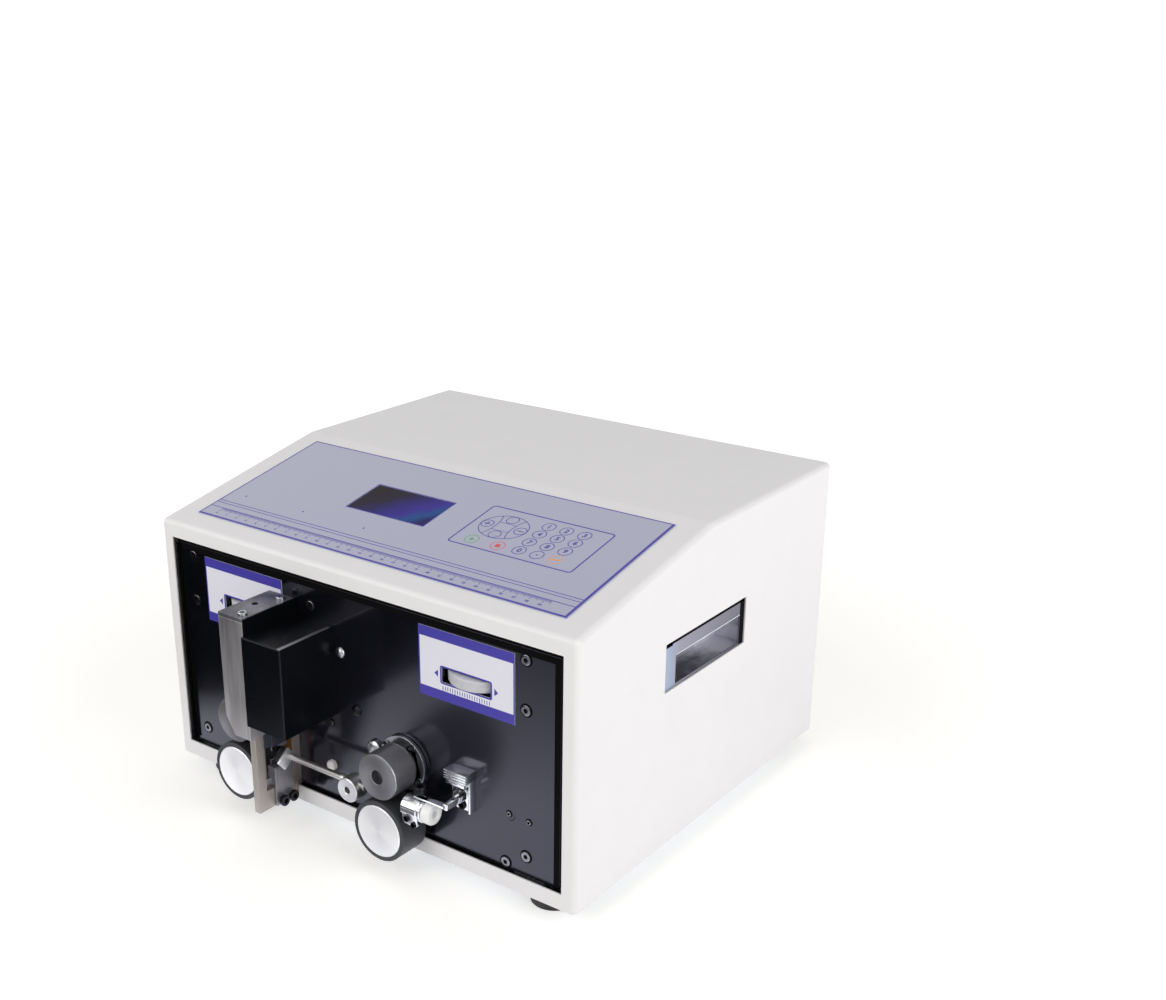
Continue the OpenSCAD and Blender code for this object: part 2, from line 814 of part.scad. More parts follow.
module belt(a, ra, b, rb) {
    difference() {
        hull() { translate(a) circle(r = ra + play + belt_t); translate(b)
            circle(r = rb + play + belt_t); }
        hull() { translate(a) circle(r = ra + play); translate(b) circle(r = rb + play); }
    }
}
module drive_belts() {
    edge = belt_w / 12;
    color("#1c1c1c") {
        for (side = [[right_x, motor_dx],
            [-left_x, motor_in]]) translate([0, pulley_end - edge, 0]) rotate([90, 0, 0])
            linear_extrude(belt_w - 2 * edge)
                belt([side[0], low_z], drive_r, [side[0] + side[1], motor_z], motor_pulley_r);
        translate([0, 0, timing_z + edge]) linear_extrude(belt_w - 2 * edge)
            belt([lead_x, wire_y], timing_r, [lead_x, cut_motor_y], timing_r);
    }
}

// Gap setting
module gap_arm(pivot, x, lug_x) {
    share = (lug_x - pivot[0]) / (x - pivot[0]);
    lug_z = pivot[1] + (up_z - pivot[1]) * share;
    color("#a8abb0") difference() {
        union() {
            hull() {
                rod_y(pivot[0], pivot[1], arm_y, arm_y + arm_t, arm_h / 2, $fn = 32);
                rod_y(x, up_z, arm_y, arm_y + arm_t, arm_h / 2, $fn = 32);
            }
            span([min(lug_x, x) - lug_w / 2, arm_y, lug_z - lug_h / 2],
                [max(lug_x, pivot[0]) - lug_w / 2, arm_y + arm_t, lug_z + lug_h / 2]);
            span([lug_x - lug_w / 2, arm_y, lug_z - lug_h / 2],
                [lug_x + lug_w / 2, wheel_y + lug_w / 2, lug_z + lug_h / 2]);
            rod_y(pivot[0], pivot[1], plate_back + play, arm_y + over, pivot_r + boss_wall);
            rod_y(x, up_z, plate_y - play - flange_t, plate_y - play, flange_r);
            for (i = [0 : 3]) translate([x, 0, up_z]) rotate([0, flange_screw_turn + 90 * i, 0])
                rod_y(flange_screw_at, 0, plate_y - play - flange_t - head_h, plate_y - play,
                    flange_screw_r);
            rod_y(x, up_z, plate_y - play - over, arm_y + over, neck_r);
            rod_y(x, up_z, arm_y, plate_back + block_l, block_r + boss_wall);
        }
        rod_y(x, up_z, -plate_y, plate_back + block_l + over, shaft_r + run);
        rod_y(pivot[0], pivot[1], plate_y, arm_y + arm_t + over, pivot_r + run);
        rod_z(lug_x, wheel_y, up_z - block_r - boss_wall - lug_h, up_z + block_r + boss_wall + lug_h,
            lug_hole_r);
        rod_z(lug_x, wheel_y, up_z - block_r - boss_wall - lug_h, up_z - block_r / 2,
            lug_hole_r + lug_play);
    }
}
module gap_arm_right() gap_arm(right_pivot, right_x, wheel_right);
module gap_arm_left() gap_arm(left_pivot, -left_x, -wheel_left);
module thumbwheel(x) {
    color("white") {
        rod_z(x, wheel_y, wheel_mid - wheel_t / 2, wheel_mid + wheel_t / 2, wheel_r);
        rod_z(x, wheel_y, left_pivot[1] - arm_h - lug_h / 2, wheel_mid + wheel_t / 2 + 2 * cup_t,
            wheel_screw_r);
    }
}
module thumbwheel_right() thumbwheel(wheel_right);
module thumbwheel_left() thumbwheel(-wheel_left);
module wheel_brackets() {
    z0 = wheel_mid - wheel_t / 2 - play;
    z1 = wheel_mid + wheel_t / 2 + play;
    back = wheel_y + wheel_r + wheel_clear;
    color("lightgray") for (x = [-wheel_left, wheel_right]) difference() {
        union() {
            span([x - lug_w / 2, plate_back, z0 - cup_t], [x + lug_w / 2, back + cup_t, z0]);
            span([x - lug_w / 2, plate_back, z1], [x + lug_w / 2, back + cup_t, z1 + cup_t]);
            span([x - lug_w / 2, back, z0 - cup_t], [x + lug_w / 2, back + cup_t, z1 + cup_t]);
        }
        rod_z(x, wheel_y, z0 - cup_t - over, z1 + cup_t + over, wheel_screw_r + run);
    }
}

// Cutter head
module cutter_column() {
    color("#b0b0ae") difference() {
        translate([0, plate_y, 0]) rotate([90, 0, 0]) linear_extrude(col_out + plate_y)
            polygon([[col_left, col_low + corner_h], [col_left + corner_w, col_low],
                [col_right, col_low],
                [col_right, col_head - cap_t], [col_left, col_head - cap_t]]);
        span([col_left + col_wall, -col_out + col_wall, col_low + corner_h],
            [frame_x1, plate_y + over, col_head]);
        span([col_left + corner_w + corner_wall, -col_out + col_wall, col_low - over],
            [frame_x1, plate_y + over, col_low + corner_h + over]);
        // window beside the upper blade holder, under the black cover
        span([frame_x0, wire_y - window_front, col_low - over],
            [col_right + over, wire_y + window_rear, cover_head - 2 * col_wall]);
        column_screws_at() rod_z(0, 0, -col_head, over, screw_r);
    }
}
module column_screws_at() {
    for (y = [-col_out + head_r + column_screw_front, -head_r])
        translate([col_right - head_r - column_screw_side, y, col_head]) children();
}
module column_cap() {
    color("#b8b8b6") difference() {
        span([col_left, -col_out, col_head - cap_t], [col_right, plate_y, col_head]);
        rod_z(lead_x, wire_y, col_head - cap_t - over, col_head - cap_t + journal_h + play,
            journal_r + run);
        column_screws_at() rod_z(0, 0, -cap_t - over, over, screw_r);
    }
}
module column_screws() {
    color("silver") column_screws_at() socket_screw(cap_t, screw_r, 0.8 * head_r, head_h);
}
module cutter_cover() {
    color("#101114") difference() {
        union() {
            span([col_right, -cover_out, cover_low], [col_right + cover_w, plate_y, cover_head]);
            span([col_right, -col_out, cover_head - over], [col_right + cover_t, plate_y, col_head]);
        }
        span([col_right - over, -cover_out + cover_t, cover_low - over],
            [col_right + cover_w - cover_t, plate_y + over, cover_head - cover_t]);
    }
}
module blade_frame() {
    color("#a9a6a4") difference() {
        span([frame_x0, -frame_out, frame_low], [frame_x1, plate_y, slot_top + 2 * play]);
        span([frame_x0 - over, slot_y0, slot_low], [frame_x1 + over, slot_y1, slot_top + over]);
        span([frame_x0 - over, -fit, frame_low - over],
            [frame_x1 + over, plate_y + over, low_rim + fit]);
    }
}
module slide_gib() {
    color("peru") span([frame_x0, slot_y1 - gib_t, slot_low], [frame_x1, slot_y1, slot_top]);
}
module lead_screw() {
    color("silver") {
        rod_z(lead_x, wire_y, lead_z0, timing_z + over, lead_r);
        rod_z(lead_x, wire_y, timing_z, timing_z + belt_w, timing_r);
        rod_z(lead_x, wire_y, timing_z, col_head - cap_t + journal_h, journal_r);
    }
}
module cutter_pulley() {
    color("silver") {
        rod_z(lead_x, cut_motor_y, timing_z, timing_z + belt_w, timing_r);
        rod_z(lead_x, cut_motor_y, cut_top - cut_l / 2, timing_z + over, cut_shaft_r);
    }
}
module cutter_motor() {
    color("#202022") difference() {
        span([lead_x - cut_w / 2, cut_motor_y - cut_w / 2, cut_top - cut_l],
            [lead_x + cut_w / 2, cut_motor_y + cut_w / 2, cut_top]);
        rod_z(lead_x, cut_motor_y, cut_top - cut_l / 2 - play, cut_top + over, cut_shaft_r + run);
    }
}
module upper_blade_holder() {
    color("#8f8d92") difference() {
        union() {
            span([frame_x0, slot_y0 + play, up_holder_low],
                [frame_x1, wire_y + holder_w / 2, up_nut_z + nut_h]);
            span([frame_mid, wire_y - holder_front, up_holder_low],
                [frame_x1 + proud, wire_y + holder_w / 2, up_nut_z]);
            span([lead_x - nut_w / 2 + nut_side, wire_y - nut_w / 2, up_nut_z],
                [frame_mid, wire_y + nut_w / 2, up_nut_z + nut_h]);
        }
        blade_space(frame_mid + play / 2, up_holder_low - over, up_edge + notch_h + blade_in);
        rod_z(lead_x, wire_y, up_nut_z - over, up_nut_z + nut_h + over, lead_r + run);
    }
}
module lower_blade_holder() {
    x1 = frame_x0 - play;
    y0 = slot_y0 + stem_gap;
    color("#9a9796") difference() {
        union() {
            span([frame_x0, wire_y - holder_w / 2, low_block],
                [frame_x1 + proud, wire_y + holder_w / 2, low_holder_top]);
            span([frame_x1 + play, wire_y - holder_w / 2, low_holder_foot],
                [frame_x1 + proud, wire_y + holder_w / 2, low_holder_top]);
            span([x1 - stem_w, y0, low_block], [frame_mid, wire_y - holder_w / 4, low_block + stem_w]);
            span([x1 - stem_w, y0, low_block], [x1, y0 + stem_w, low_nut_z + nut_h]);
            span([lead_x - nut_w / 2 + nut_side, y0, low_nut_z],
                [x1, wire_y + nut_w / 2, low_nut_z + nut_h]);
        }
        blade_space(frame_mid - play / 2 - blade_t, low_edge - notch_h - blade_in,
            low_holder_top + over);
        rod_z(lead_x, wire_y, low_nut_z - over, low_nut_z + nut_h + over, lead_r + run);
        holder_screws_at() rod_x(0, 0, -frame_t, over, small_r);
    }
}
module blade_space(x, z0, z1) { span([x, wire_y - blade_w / 2, z0],
    [x + blade_t, wire_y + blade_w / 2, z1]); }
module holder_screws_at() {
    for (side = [-1, 1])
        translate([frame_x1 + proud, wire_y + side * (holder_screw_r + play), holder_screw_z])
            children();
}
module holder_screws() {
    color("#1a1a1a") holder_screws_at() rotate([0, 90, 0])
        socket_screw(proud - play, small_r, holder_screw_r, head_h);
}
module blade(x, edge, up) {
    // outline across the blade and upwards from its edge, with a V notch for the wire
    translate([x, wire_y, edge]) rotate([90, 0, 90]) linear_extrude(blade_t)
        polygon([[-blade_w / 2, 0], [-notch_w, 0], [0, up * notch_h], [notch_w, 0], [blade_w / 2, 0],
            [blade_w / 2, up * (notch_h + blade_in)], [-blade_w / 2, up * (notch_h + blade_in)]]);
}
module upper_blade() { color("silver") blade(frame_mid + play / 2, up_edge, 1); }
module lower_blade() { color("silver") blade(frame_mid - play / 2 - blade_t, low_edge, -1); }

// Conduit that leads the wire from the rollers to the blades
module conduit_shaft() {
    color("silver") rod_y(hub_x, hub_z, (hub_face + hub_back) / 2 + tube_r + play,
        plate_back + swing_motor_l, conduit_r);
}
module conduit_hub() {
    color("silver") difference() {
        rod_y(hub_x, hub_z, hub_face, hub_back, hub_r);
        rod_y(hub_x, hub_z, hub_face - over, hub_back + over, hub_bore);
        rod_y(hub_x, hub_z, (hub_face + hub_back) / 2 + tube_r + play, hub_back + over, conduit_r);
        rod_x(wire_y, wire_z, hub_x - hub_r - over, hub_x + hub_r + over, tube_r);
    }
}
module conduit_tube() {
    color("gainsboro") difference() {
        union() {
            rod_x(wire_y, wire_z, -tube_end, funnel_x, tube_r);
            translate([funnel_x, wire_y, wire_z]) rotate([0, 90, 0])
                cylinder(r1 = tube_r, r2 = funnel_r, h = funnel_l);
        }
        rod_x(wire_y, wire_z, -tube_end - over, funnel_x + funnel_l + over, tube_bore);
    }
}
module conduit_nose() {
    color("#1a1a1a") difference() {
        translate([-tube_end - nose_l, wire_y, wire_z]) rotate([nose_tilt, 0, 0])
            span([0, -nose_w / 2, -nose_h / 2], [nose_l, nose_w / 2, nose_h / 2]);
        rod_x(wire_y, wire_z, -tube_end - nose_l - over, -tube_end + over, tube_bore);
    }
}
module conduit_motor() {
    color("#303236") difference() {
        union() {
            rod_y(hub_x, hub_z, plate_back, plate_back + bracket_t, swing_motor_r + bracket_t);
            rod_y(hub_x, hub_z, plate_back, plate_back + swing_motor_l + bracket_t, swing_motor_r);
        }
        rod_y(hub_x, hub_z, plate_y, plate_back + swing_motor_l + play, conduit_r + run);
    }
}

// Inlet guide that holds the white bush in line with the wire
module inlet_bracket() {
    knob_y = plate_y - knob_r - seat_t / 3;
    color("silver") {
        span([seat_x0, plate_y - seat_t, seat_z0], [seat_x1, plate_y, seat_z1]);
        span([seat_x0, knob_y - knob_r / 2, seat_z1 - seat_t], [seat_x1, plate_y, seat_z1]);
        span([arm_x - knob_r, plate_y - knob_r - seat_t, seat_z1],
            [arm_x + knob_r, plate_y, seat_z1 + knob_h]);
        rod_z(arm_x, knob_y, link_z + link_t / 2, seat_z1 + over, knob_r / 3);
    }
}
module inlet_arm() {
    color("silver") {
        span([arm_x - arm_w / 2, wire_y - link_w / 2, link_z - link_t / 2],
            [arm_x + arm_w / 2, plate_y - seat_t, link_z + link_t / 2]);
        span([guide_x0 + guide_r, wire_y - link_w / 2, link_z - link_t / 2],
            [arm_x, wire_y + link_w / 2, link_z + link_t / 2]);
        rod_z(guide_x0 + guide_r + link_w / 2, wire_y, link_z, link_z + link_t / 2 + knob_h / 2,
            link_w * 0.7);
    }
}
module inlet_guide() {
    color("silver") difference() {
        union() {
            rod_x(wire_y, wire_z, guide_x0, guide_x1, guide_r);
            rod_x(wire_y, wire_z, guide_x1 - over, guide_x1 + guide_rim_t, guide_r);
            span([guide_x0 + guide_step, wire_y - guide_r, wire_z - 1.4 * guide_r],
                [guide_x1, wire_y, wire_z]);
        }
        rod_x(wire_y, wire_z, guide_x0 - over, guide_x1 + guide_rim_t + over, bush_r * 0.6);
    }
}
module inlet_bush() {
    color("white") difference() {
        union() {
            rod_x(wire_y, wire_z, guide_x1 + guide_rim_t, bush_x1, bush_r);
            rod_x(wire_y, wire_z, guide_x0, bush_x1 - over, bush_r * 0.6);
        }
        rod_x(wire_y, wire_z, guide_x0 - over, bush_x1 + over, bush_bore);
    }
}

// Electrics
module control_board() {
    color("darkgreen") {
        span([board_x0, board_y0, board_z], [board_x1, board_y1, board_z + board_t]);
        for (x = [board_x0 + 2 * post_r, board_x1 - 2 * post_r], y = [board_y0 + 2 * post_r,
            board_y1 - 2 * post_r])
            rod_z(x, y, sheet, board_z + over, post_r);
        for (i = [0 : 3]) span([board_x0 + (board_x1 - board_x0) * (0.1 + 0.22 * i),
            board_y0 + 2 * board_z, board_z],
            [board_x0 + (board_x1 - board_x0) * (0.24 + 0.22 * i), board_y0 + 4 * board_z,
                board_z + board_z]);
        for (i = [0 : 1]) rod_z(board_x0 + (board_x1 - board_x0) * (0.25 + 0.4 * i),
            board_y1 - 3 * board_z, board_z, 4 * board_z, board_z);
    }
}
module power_transformer() {
    color("#6b4a2a") {
        span([-mains_at - core_w / 2, mains_y, sheet],
            [-mains_at + core_w / 2, mains_y + core_l, sheet + core_h]);
        span([-mains_at - core_w / 4, mains_y - coil_out, sheet + core_h / 5],
            [-mains_at + core_w / 4, mains_y + core_l + coil_out, sheet + core_h * 0.8]);
    }
}
module fan_screws_at() {
    d = fan_w / 2 - fan_screw_in;
    for (x = [-d, d], z = [-d, d]) translate([fan_at + x, 0, fan_z + z]) children();
}
module fan_frame() {
    y1 = cab_d - sheet;
    bore_r = fan_w / 2 - fan_gap;
    color("#1c1c1e") {
        difference() {
            span([fan_at - fan_w / 2, y1 - fan_d, fan_z - fan_w / 2],
                [fan_at + fan_w / 2, y1, fan_z + fan_w / 2]);
            rod_y(fan_at, fan_z, y1 - fan_d - over, y1 + over, bore_r);
            fan_screws_at() rod_y(0, 0, 0, cab_d, small_r);
        }
        for (i = [0 : 3]) translate([fan_at, 0, fan_z]) rotate([0, 45 + 90 * i, 0])
            span([fan_hub_r / 2, y1 - fan_gap * 2, -fan_gap], [bore_r + fan_gap, y1, fan_gap]);
        rod_y(fan_at, fan_z, y1 - 2 * fan_gap, y1, fan_hub_r);
        rod_y(fan_at, fan_z, y1 - fan_d / 2, y1 - fan_gap, small_r);
    }
}
module fan_rotor() {
    y0 = cab_d - sheet - fan_d + fan_gap;
    y1 = cab_d - sheet - 2 * fan_gap - play;
    tip = fan_w / 2 - 2 * fan_gap;
    color("#2a2a2c") difference() {
        union() {
            rod_y(fan_at, fan_z, y0, y1, fan_hub_r);
            for (i = [0 : fan_blades - 1]) translate([fan_at, (y0 + y1) / 2, fan_z])
                rotate([0, 360 * i / fan_blades, 0])
                rotate([35, 0, 0]) span([fan_hub_r / 2, -fan_d * 0.36, -fan_gap / 2],
                    [tip - fan_gap, fan_d * 0.36, fan_gap / 2]);
        }
        rod_y(fan_at, fan_z, cab_d - sheet - fan_d / 2 - play, cab_d, small_r + run);
    }
}
module mains_inlet() {
    z0 = mains_z - inlet_h / 2;
    z1 = mains_z + inlet_h / 2 + rocker_h + 3 * sheet;
    x = -mains_at;
    color("#161616") difference() {
        union() {
            span([x - inlet_w / 2, cab_d - inlet_in - sheet, z0], [x + inlet_w / 2, cab_d + over, z1]);
            span([x - inlet_w / 2 - 2 * inlet_wall, cab_d, z0 - 2 * inlet_wall],
                [x + inlet_w / 2 + 2 * inlet_wall, cab_d + inlet_wall, z1 + 2 * inlet_wall]);
        }
        // socket for the mains lead and the switch's opening
        span([x - inlet_w / 2 + inlet_wall, cab_d - inlet_in, z0 + inlet_wall],
            [x + inlet_w / 2 - inlet_wall, cab_d + rear_out, mains_z + inlet_h / 2 - inlet_wall]);
        span([x - rocker_w / 2 - play, cab_d - inlet_in, rocker_z - rocker_h / 2 - play],
            [x + rocker_w / 2 + play, cab_d + rear_out, rocker_z + rocker_h / 2 + play]);
    }
    color("silver") for (dx = [-1, 0, 1])
        span([x + dx * 2 * pin_w - pin_t / 2, cab_d - inlet_in - over,
            mains_z + inlet_h / 6 - pin_w / 2],
        [x + dx * 2 * pin_w + pin_t / 2, cab_d - inlet_wall, mains_z + inlet_h / 6 + pin_w / 2]);
    color("silver") rod_x(cab_d - rocker_t / 2, rocker_z, x - rocker_w / 2 - inlet_wall,
        x + rocker_w / 2 + inlet_wall, small_r);
}
module power_rocker() {
    h = rocker_h / 2;
    color("#a01818") difference() {
        translate([-mains_at - rocker_w / 2, cab_d - rocker_t / 2, rocker_z]) rotate([90, 0, 90])
            linear_extrude(rocker_w)
            polygon([[-rocker_t / 2, -h / 2], [rocker_low_share * rocker_t, -rocker_tip_share * h],
                [rocker_t / 2, 0], [rocker_top_share * rocker_t, rocker_nose_share * h],
                    [-rocker_t / 2, h / 2]]);
        rod_x(cab_d - rocker_t / 2, rocker_z, -mains_at - rocker_w, -mains_at + rocker_w, small_r + run);
    }
}

stand() cabinet_cover();
stand() base_pan();
stand() rear_panel();
stand() rubber_feet();
stand() case_screws();
stand() front_plate();
stand() plate_screws();
stand() plate_brackets();
stand() handle_pockets();
stand() panel_overlay();
stand() lcd_module();
stand() lcd_window();
stand() keypad_board();
stand() roller_labels();
stand() control_board();
stand() power_transformer();
stand() fan_frame();
stand() fan_rotor();
stand() mains_inlet();
stand() power_rocker();
stand() feed_motors();
stand() motor_brackets();
stand() cutter_motor();
stand() drive_belts();
stand() motor_pulley_right();
stand() motor_pulley_left();
stand() cutter_column();
stand() column_cap();
stand() column_screws();
stand() cutter_cover();
stand() blade_frame();
stand() slide_gib();
stand() lead_screw();
stand() cutter_pulley();
stand() upper_blade_holder();
stand() lower_blade_holder();
stand() holder_screws();
stand() upper_blade();
stand() lower_blade();
stand() conduit_shaft();
stand() conduit_hub();
stand() conduit_tube();
stand() conduit_nose();
stand() conduit_motor();
stand() inlet_bracket();
stand() inlet_arm();
stand() inlet_guide();
stand() inlet_bush();
stand() lower_roller_right();
stand() lower_tyre_right();
stand() upper_roller_right();
stand() lower_roller_left();
stand() lower_tyre_left();
stand() upper_roller_left();
stand() gap_arm_right();
stand() gap_arm_left();
stand() thumbwheel_right();
stand() thumbwheel_left();
stand() wheel_brackets();
stand() bearing_blocks();
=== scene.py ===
import bmesh, bpy, json
from math import atan, atan2, cos, degrees, pi, radians, sin
from mathutils import Matrix, Vector


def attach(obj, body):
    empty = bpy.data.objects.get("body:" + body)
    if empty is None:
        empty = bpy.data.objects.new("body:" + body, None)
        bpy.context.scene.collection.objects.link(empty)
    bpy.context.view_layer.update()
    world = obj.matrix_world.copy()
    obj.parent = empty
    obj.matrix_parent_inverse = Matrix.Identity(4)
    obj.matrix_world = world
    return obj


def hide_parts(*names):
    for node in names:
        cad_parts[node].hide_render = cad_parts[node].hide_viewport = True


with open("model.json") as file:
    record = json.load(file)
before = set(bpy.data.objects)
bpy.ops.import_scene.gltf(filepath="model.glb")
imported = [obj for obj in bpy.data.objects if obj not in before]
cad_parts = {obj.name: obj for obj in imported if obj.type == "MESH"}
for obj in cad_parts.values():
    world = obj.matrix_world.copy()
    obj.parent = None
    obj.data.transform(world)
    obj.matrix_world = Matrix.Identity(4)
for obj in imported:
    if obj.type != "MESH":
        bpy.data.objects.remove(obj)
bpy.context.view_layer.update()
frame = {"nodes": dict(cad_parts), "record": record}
print("frame loaded, nodes:", len(frame["nodes"]))

# Pieces are built in machine millimetres: x right, y back from the cabinet front, z up from the cabinet bottom
toFrame = Matrix.Translation((0, -0.140, 0.012)) @ Matrix.Scale(0.001, 4)
forwards = Matrix.Rotation(radians(90), 4, "X")  # lays a turned shape's axis to the front
sideways = Matrix.Rotation(radians(90), 4, "Y")  # and to the right
slopeAngle = atan(31 / 154)
onPanel = Matrix.Translation((0, 0, 189)) @ Matrix.Rotation(slopeAngle, 4, "X")  # x, up the slope, out of it
finishes = {}


def linearColour(code):
    parts = [int(code[i:i + 2], 16) / 255 for i in (1, 3, 5)]
    return [p / 12.92 if p <= 0.04045 else ((p + 0.055) / 1.055) ** 2.4 for p in parts] + [1]


def setInputs(tree, node, inputs):
    # takes numbers, a hex colour, a socket, a node whose first live output is meant, or a range's two ends
    for name, value in inputs.items():
        if isinstance(value, bpy.types.Node):
            value = next(output for output in value.outputs if output.enabled)
        if name in ("From", "To"):
            setInputs(tree, node, {name + " Min": value[0], name + " Max": value[1]})
        elif isinstance(value, bpy.types.NodeSocket):
            tree.links.new(value, node.inputs[name])
        else:
            node.inputs[name].default_value = linearColour(value) if isinstance(value, str) else value


def addNode(tree, kind, settings=(), inputs=()):
    # settings may be the name of an operation alone
    node = tree.nodes.new("ShaderNode" + kind)
    for name, value in dict({"operation": settings} if isinstance(settings, str) else settings).items():
        if name == "stops":  # a ramp's positions and colours
            elements = node.color_ramp.elements
            while len(elements) < len(value):
                elements.new(0.5)
            for element, (position, code) in zip(elements, value):
                element.position, element.color = position, linearColour(code)
        else:
            setattr(node, name, value)
    setInputs(tree, node, dict(inputs))
    return node


def newFinish(slot, name, settings):
    finishes[slot] = material = bpy.data.materials.new(name)
    material.use_nodes = True
    tree = material.node_tree
    shader = tree.nodes["Principled BSDF"]
    setInputs(tree, shader, settings)
    return tree, shader, addNode(tree, "TexCoord").outputs["Object"]


def grained(slot, name, settings, tones, grain, roughness, relief=0, reliefGrain=None, stretch=(1, 1, 1)):
    # a surface whose tone, roughness and height vary by noise; grain and relief in millimetres
    tree, shader, place = newFinish(slot, name, settings)
    spread = addNode(tree, "Mapping", {}, {"Vector": place, "Scale": stretch})
    noise = addNode(tree, "TexNoise", {}, {"Vector": spread, "Scale": 1000 / grain, "Detail": 3, "Roughness": 0.6})
    colour = addNode(tree, "Mix", {"data_type": "RGBA"}, {"Factor": noise, "A": tones[0], "B": tones[1]})
    rough = addNode(tree, "MapRange", {}, {"Value": noise, "To": roughness})
    setInputs(tree, shader, {"Base Color": colour, "Roughness": rough})
    if relief:
        height = noise
        if reliefGrain:
            height = addNode(tree, "TexNoise", {}, {"Vector": spread, "Scale": 1000 / reliefGrain, "Detail": 2})
        bump = addNode(tree, "Bump", {}, {"Height": height, "Strength": 0.4, "Distance": relief / 1000})
        setInputs(tree, shader, {"Normal": bump})


# powder-coated sheet steel, ivory: soft sheen with a fine orange peel
grained("cabinet_paint", "ivoryPowderCoat", {"IOR": 1.5}, ("#e9e7e7", "#f0eeee"), 38, (0.38, 0.48), 0.06, 1.1)
# zinc-plated sheet: cool grey with the blotches of the plating
grained("zinc_sheet", "zincPlatedSheet", {"Metallic": 1}, ("#a9adb0", "#c6cacc"), 9, (0.32, 0.5), 0.02)
# moulded rubber: dark and matt, faintly dusty
grained("black_rubber", "mouldedRubber", {"IOR": 1.52}, ("#151516", "#232324"), 3, (0.6, 0.8), 0.05, 0.7)
# nickel-plated screw steel: bright, lightly turned
grained("screw_steel", "nickelScrewSteel", {"Metallic": 1}, ("#a2a4a8", "#c4c6ca"), 1.2, (0.18, 0.32))
# gloss black enamel on the front plate: a soft clear reflection over near-black paint
grained("black_plate", "glossBlackEnamel", {"IOR": 1.5, "Specular Tint": "#c4c4f0", "Coat Weight": 0.45,
        "Coat Roughness": 0.07, "Coat IOR": 1.5}, ("#07080b", "#0d0e14"), 30, (0.16, 0.26), 0.03, 2.2)
# baked black enamel of the cutter cover: deeper, with wide highlights along its bent edges
grained("black_cover", "bakedBlackEnamel", {"IOR": 1.5, "Specular IOR Level": 0.28, "Specular Tint": "#d0d4f0",
        "Coat Weight": 0.06, "Coat Roughness": 0.1, "Coat IOR": 1.5}, ("#050608", "#0a0b0e"), 26, (0.24, 0.34),
        0.03, 1.6)
# dark nickel on the heads of the plate screws: grey metal with a bright rim
grained("plate_screw", "darkNickelPlate", {"Metallic": 1}, ("#5c5c60", "#94949a"), 0.9, (0.14, 0.34))
# varnished laminations: dark brown layers with a soft shine
grained("transformer_iron", "varnishedLaminations", {"Metallic": 0.4}, ("#2c211a", "#4a3728"), 0.9, (0.3, 0.5), 0.08,
        stretch=(0.05, 1, 0.05))
# glass-filled black nylon from a lightly sparked mould: satin black
grained("black_plastic", "sparkedBlackNylon", {"IOR": 1.53}, ("#131314", "#1e1e20"), 2, (0.42, 0.58), 0.04, 0.6)
# polished red polycarbonate of the rocker: clear, glossy red
grained("rocker_red", "redPolycarbonate", {"IOR": 1.58, "Transmission Weight": 0.1}, ("#8e1414", "#a81c1a"), 6,
        (0.15, 0.22))
# black-painted motor cases: plain satin
grained("motor_black", "motorEnamel", {"IOR": 1.5}, ("#141415", "#202124"), 5, (0.35, 0.5), 0.04, 0.9)
# belt rubber: matt, ribbed by its weave
grained("belt_rubber", "beltRubber", {"IOR": 1.52}, ("#101011", "#1d1d1e"), 1, (0.6, 0.8), 0.08, stretch=(1, 0.2, 1))
# turned aluminium of the pulleys: pale and silky
grained("pulley_aluminium", "turnedPulleyAluminium", {"Metallic": 1}, ("#b9bbbf", "#d2d4d8"), 1.5, (0.25, 0.4))
# tool steel of the blade holders: ground, dark grey with fine upright scratches
grained("tool_steel", "groundToolSteel", {"Metallic": 0.8}, ("#87858a", "#a9a7ac"), 0.9, (0.4, 0.56), 0.01,
        stretch=(1, 1, 0.06))
# bronze gib strip: worn bright
grained("gib_bronze", "bronzeGib", {"Metallic": 1}, ("#96683a", "#c08c56"), 1.2, (0.28, 0.42), stretch=(1, 1, 0.1))
# black-oxide socket screws: dark metal with an oily sheen
grained("black_screw", "blackOxideSteel", {"Metallic": 0.85}, ("#17171a", "#2b2b30"), 1.2, (0.24, 0.38))
# hardened blade steel: bright, ground across
grained("blade_steel", "groundBladeSteel", {"Metallic": 1}, ("#b2b5ba", "#d0d2d6"), 0.7, (0.16, 0.28),
        stretch=(1, 0.08, 1))
# drawn stainless tube: clear reflections, hairline draw marks
grained("polished_steel", "drawnStainlessTube", {"Metallic": 1}, ("#aeaaa8", "#d2cecc"), 0.7, (0.34, 0.5),
        stretch=(0.05, 1, 1))
# satin turned steel of the conduit's end plate: pale and even
grained("hub_steel", "satinHubSteel", {"Metallic": 0.9}, ("#d2d2d3", "#eaeaeb"), 2.2, (0.34, 0.48))
# bright chrome plate over cast parts: a mirror with a slight wave
grained("chrome_plate", "brightChrome", {"Metallic": 1}, ("#c6c8cc", "#e2e3e6"), 4, (0.06, 0.16), 0.03, 2.5)
# white acetal of the bush and buffer: dense, slightly waxy
grained("white_plastic", "whiteAcetal", {"IOR": 1.48, "Subsurface Weight": 0.1, "Subsurface Scale": 0.002},
        ("#f0f0ef", "#f8f8f7"), 3, (0.3, 0.4), 0.01)
# milled aluminium of the gap arms: mid grey, with cutter marks
grained("arm_aluminium", "milledAluminium", {"Metallic": 1}, ("#85878c", "#b4b6bb"), 1.1, (0.25, 0.4), 0.015,
        stretch=(1, 1, 0.2))
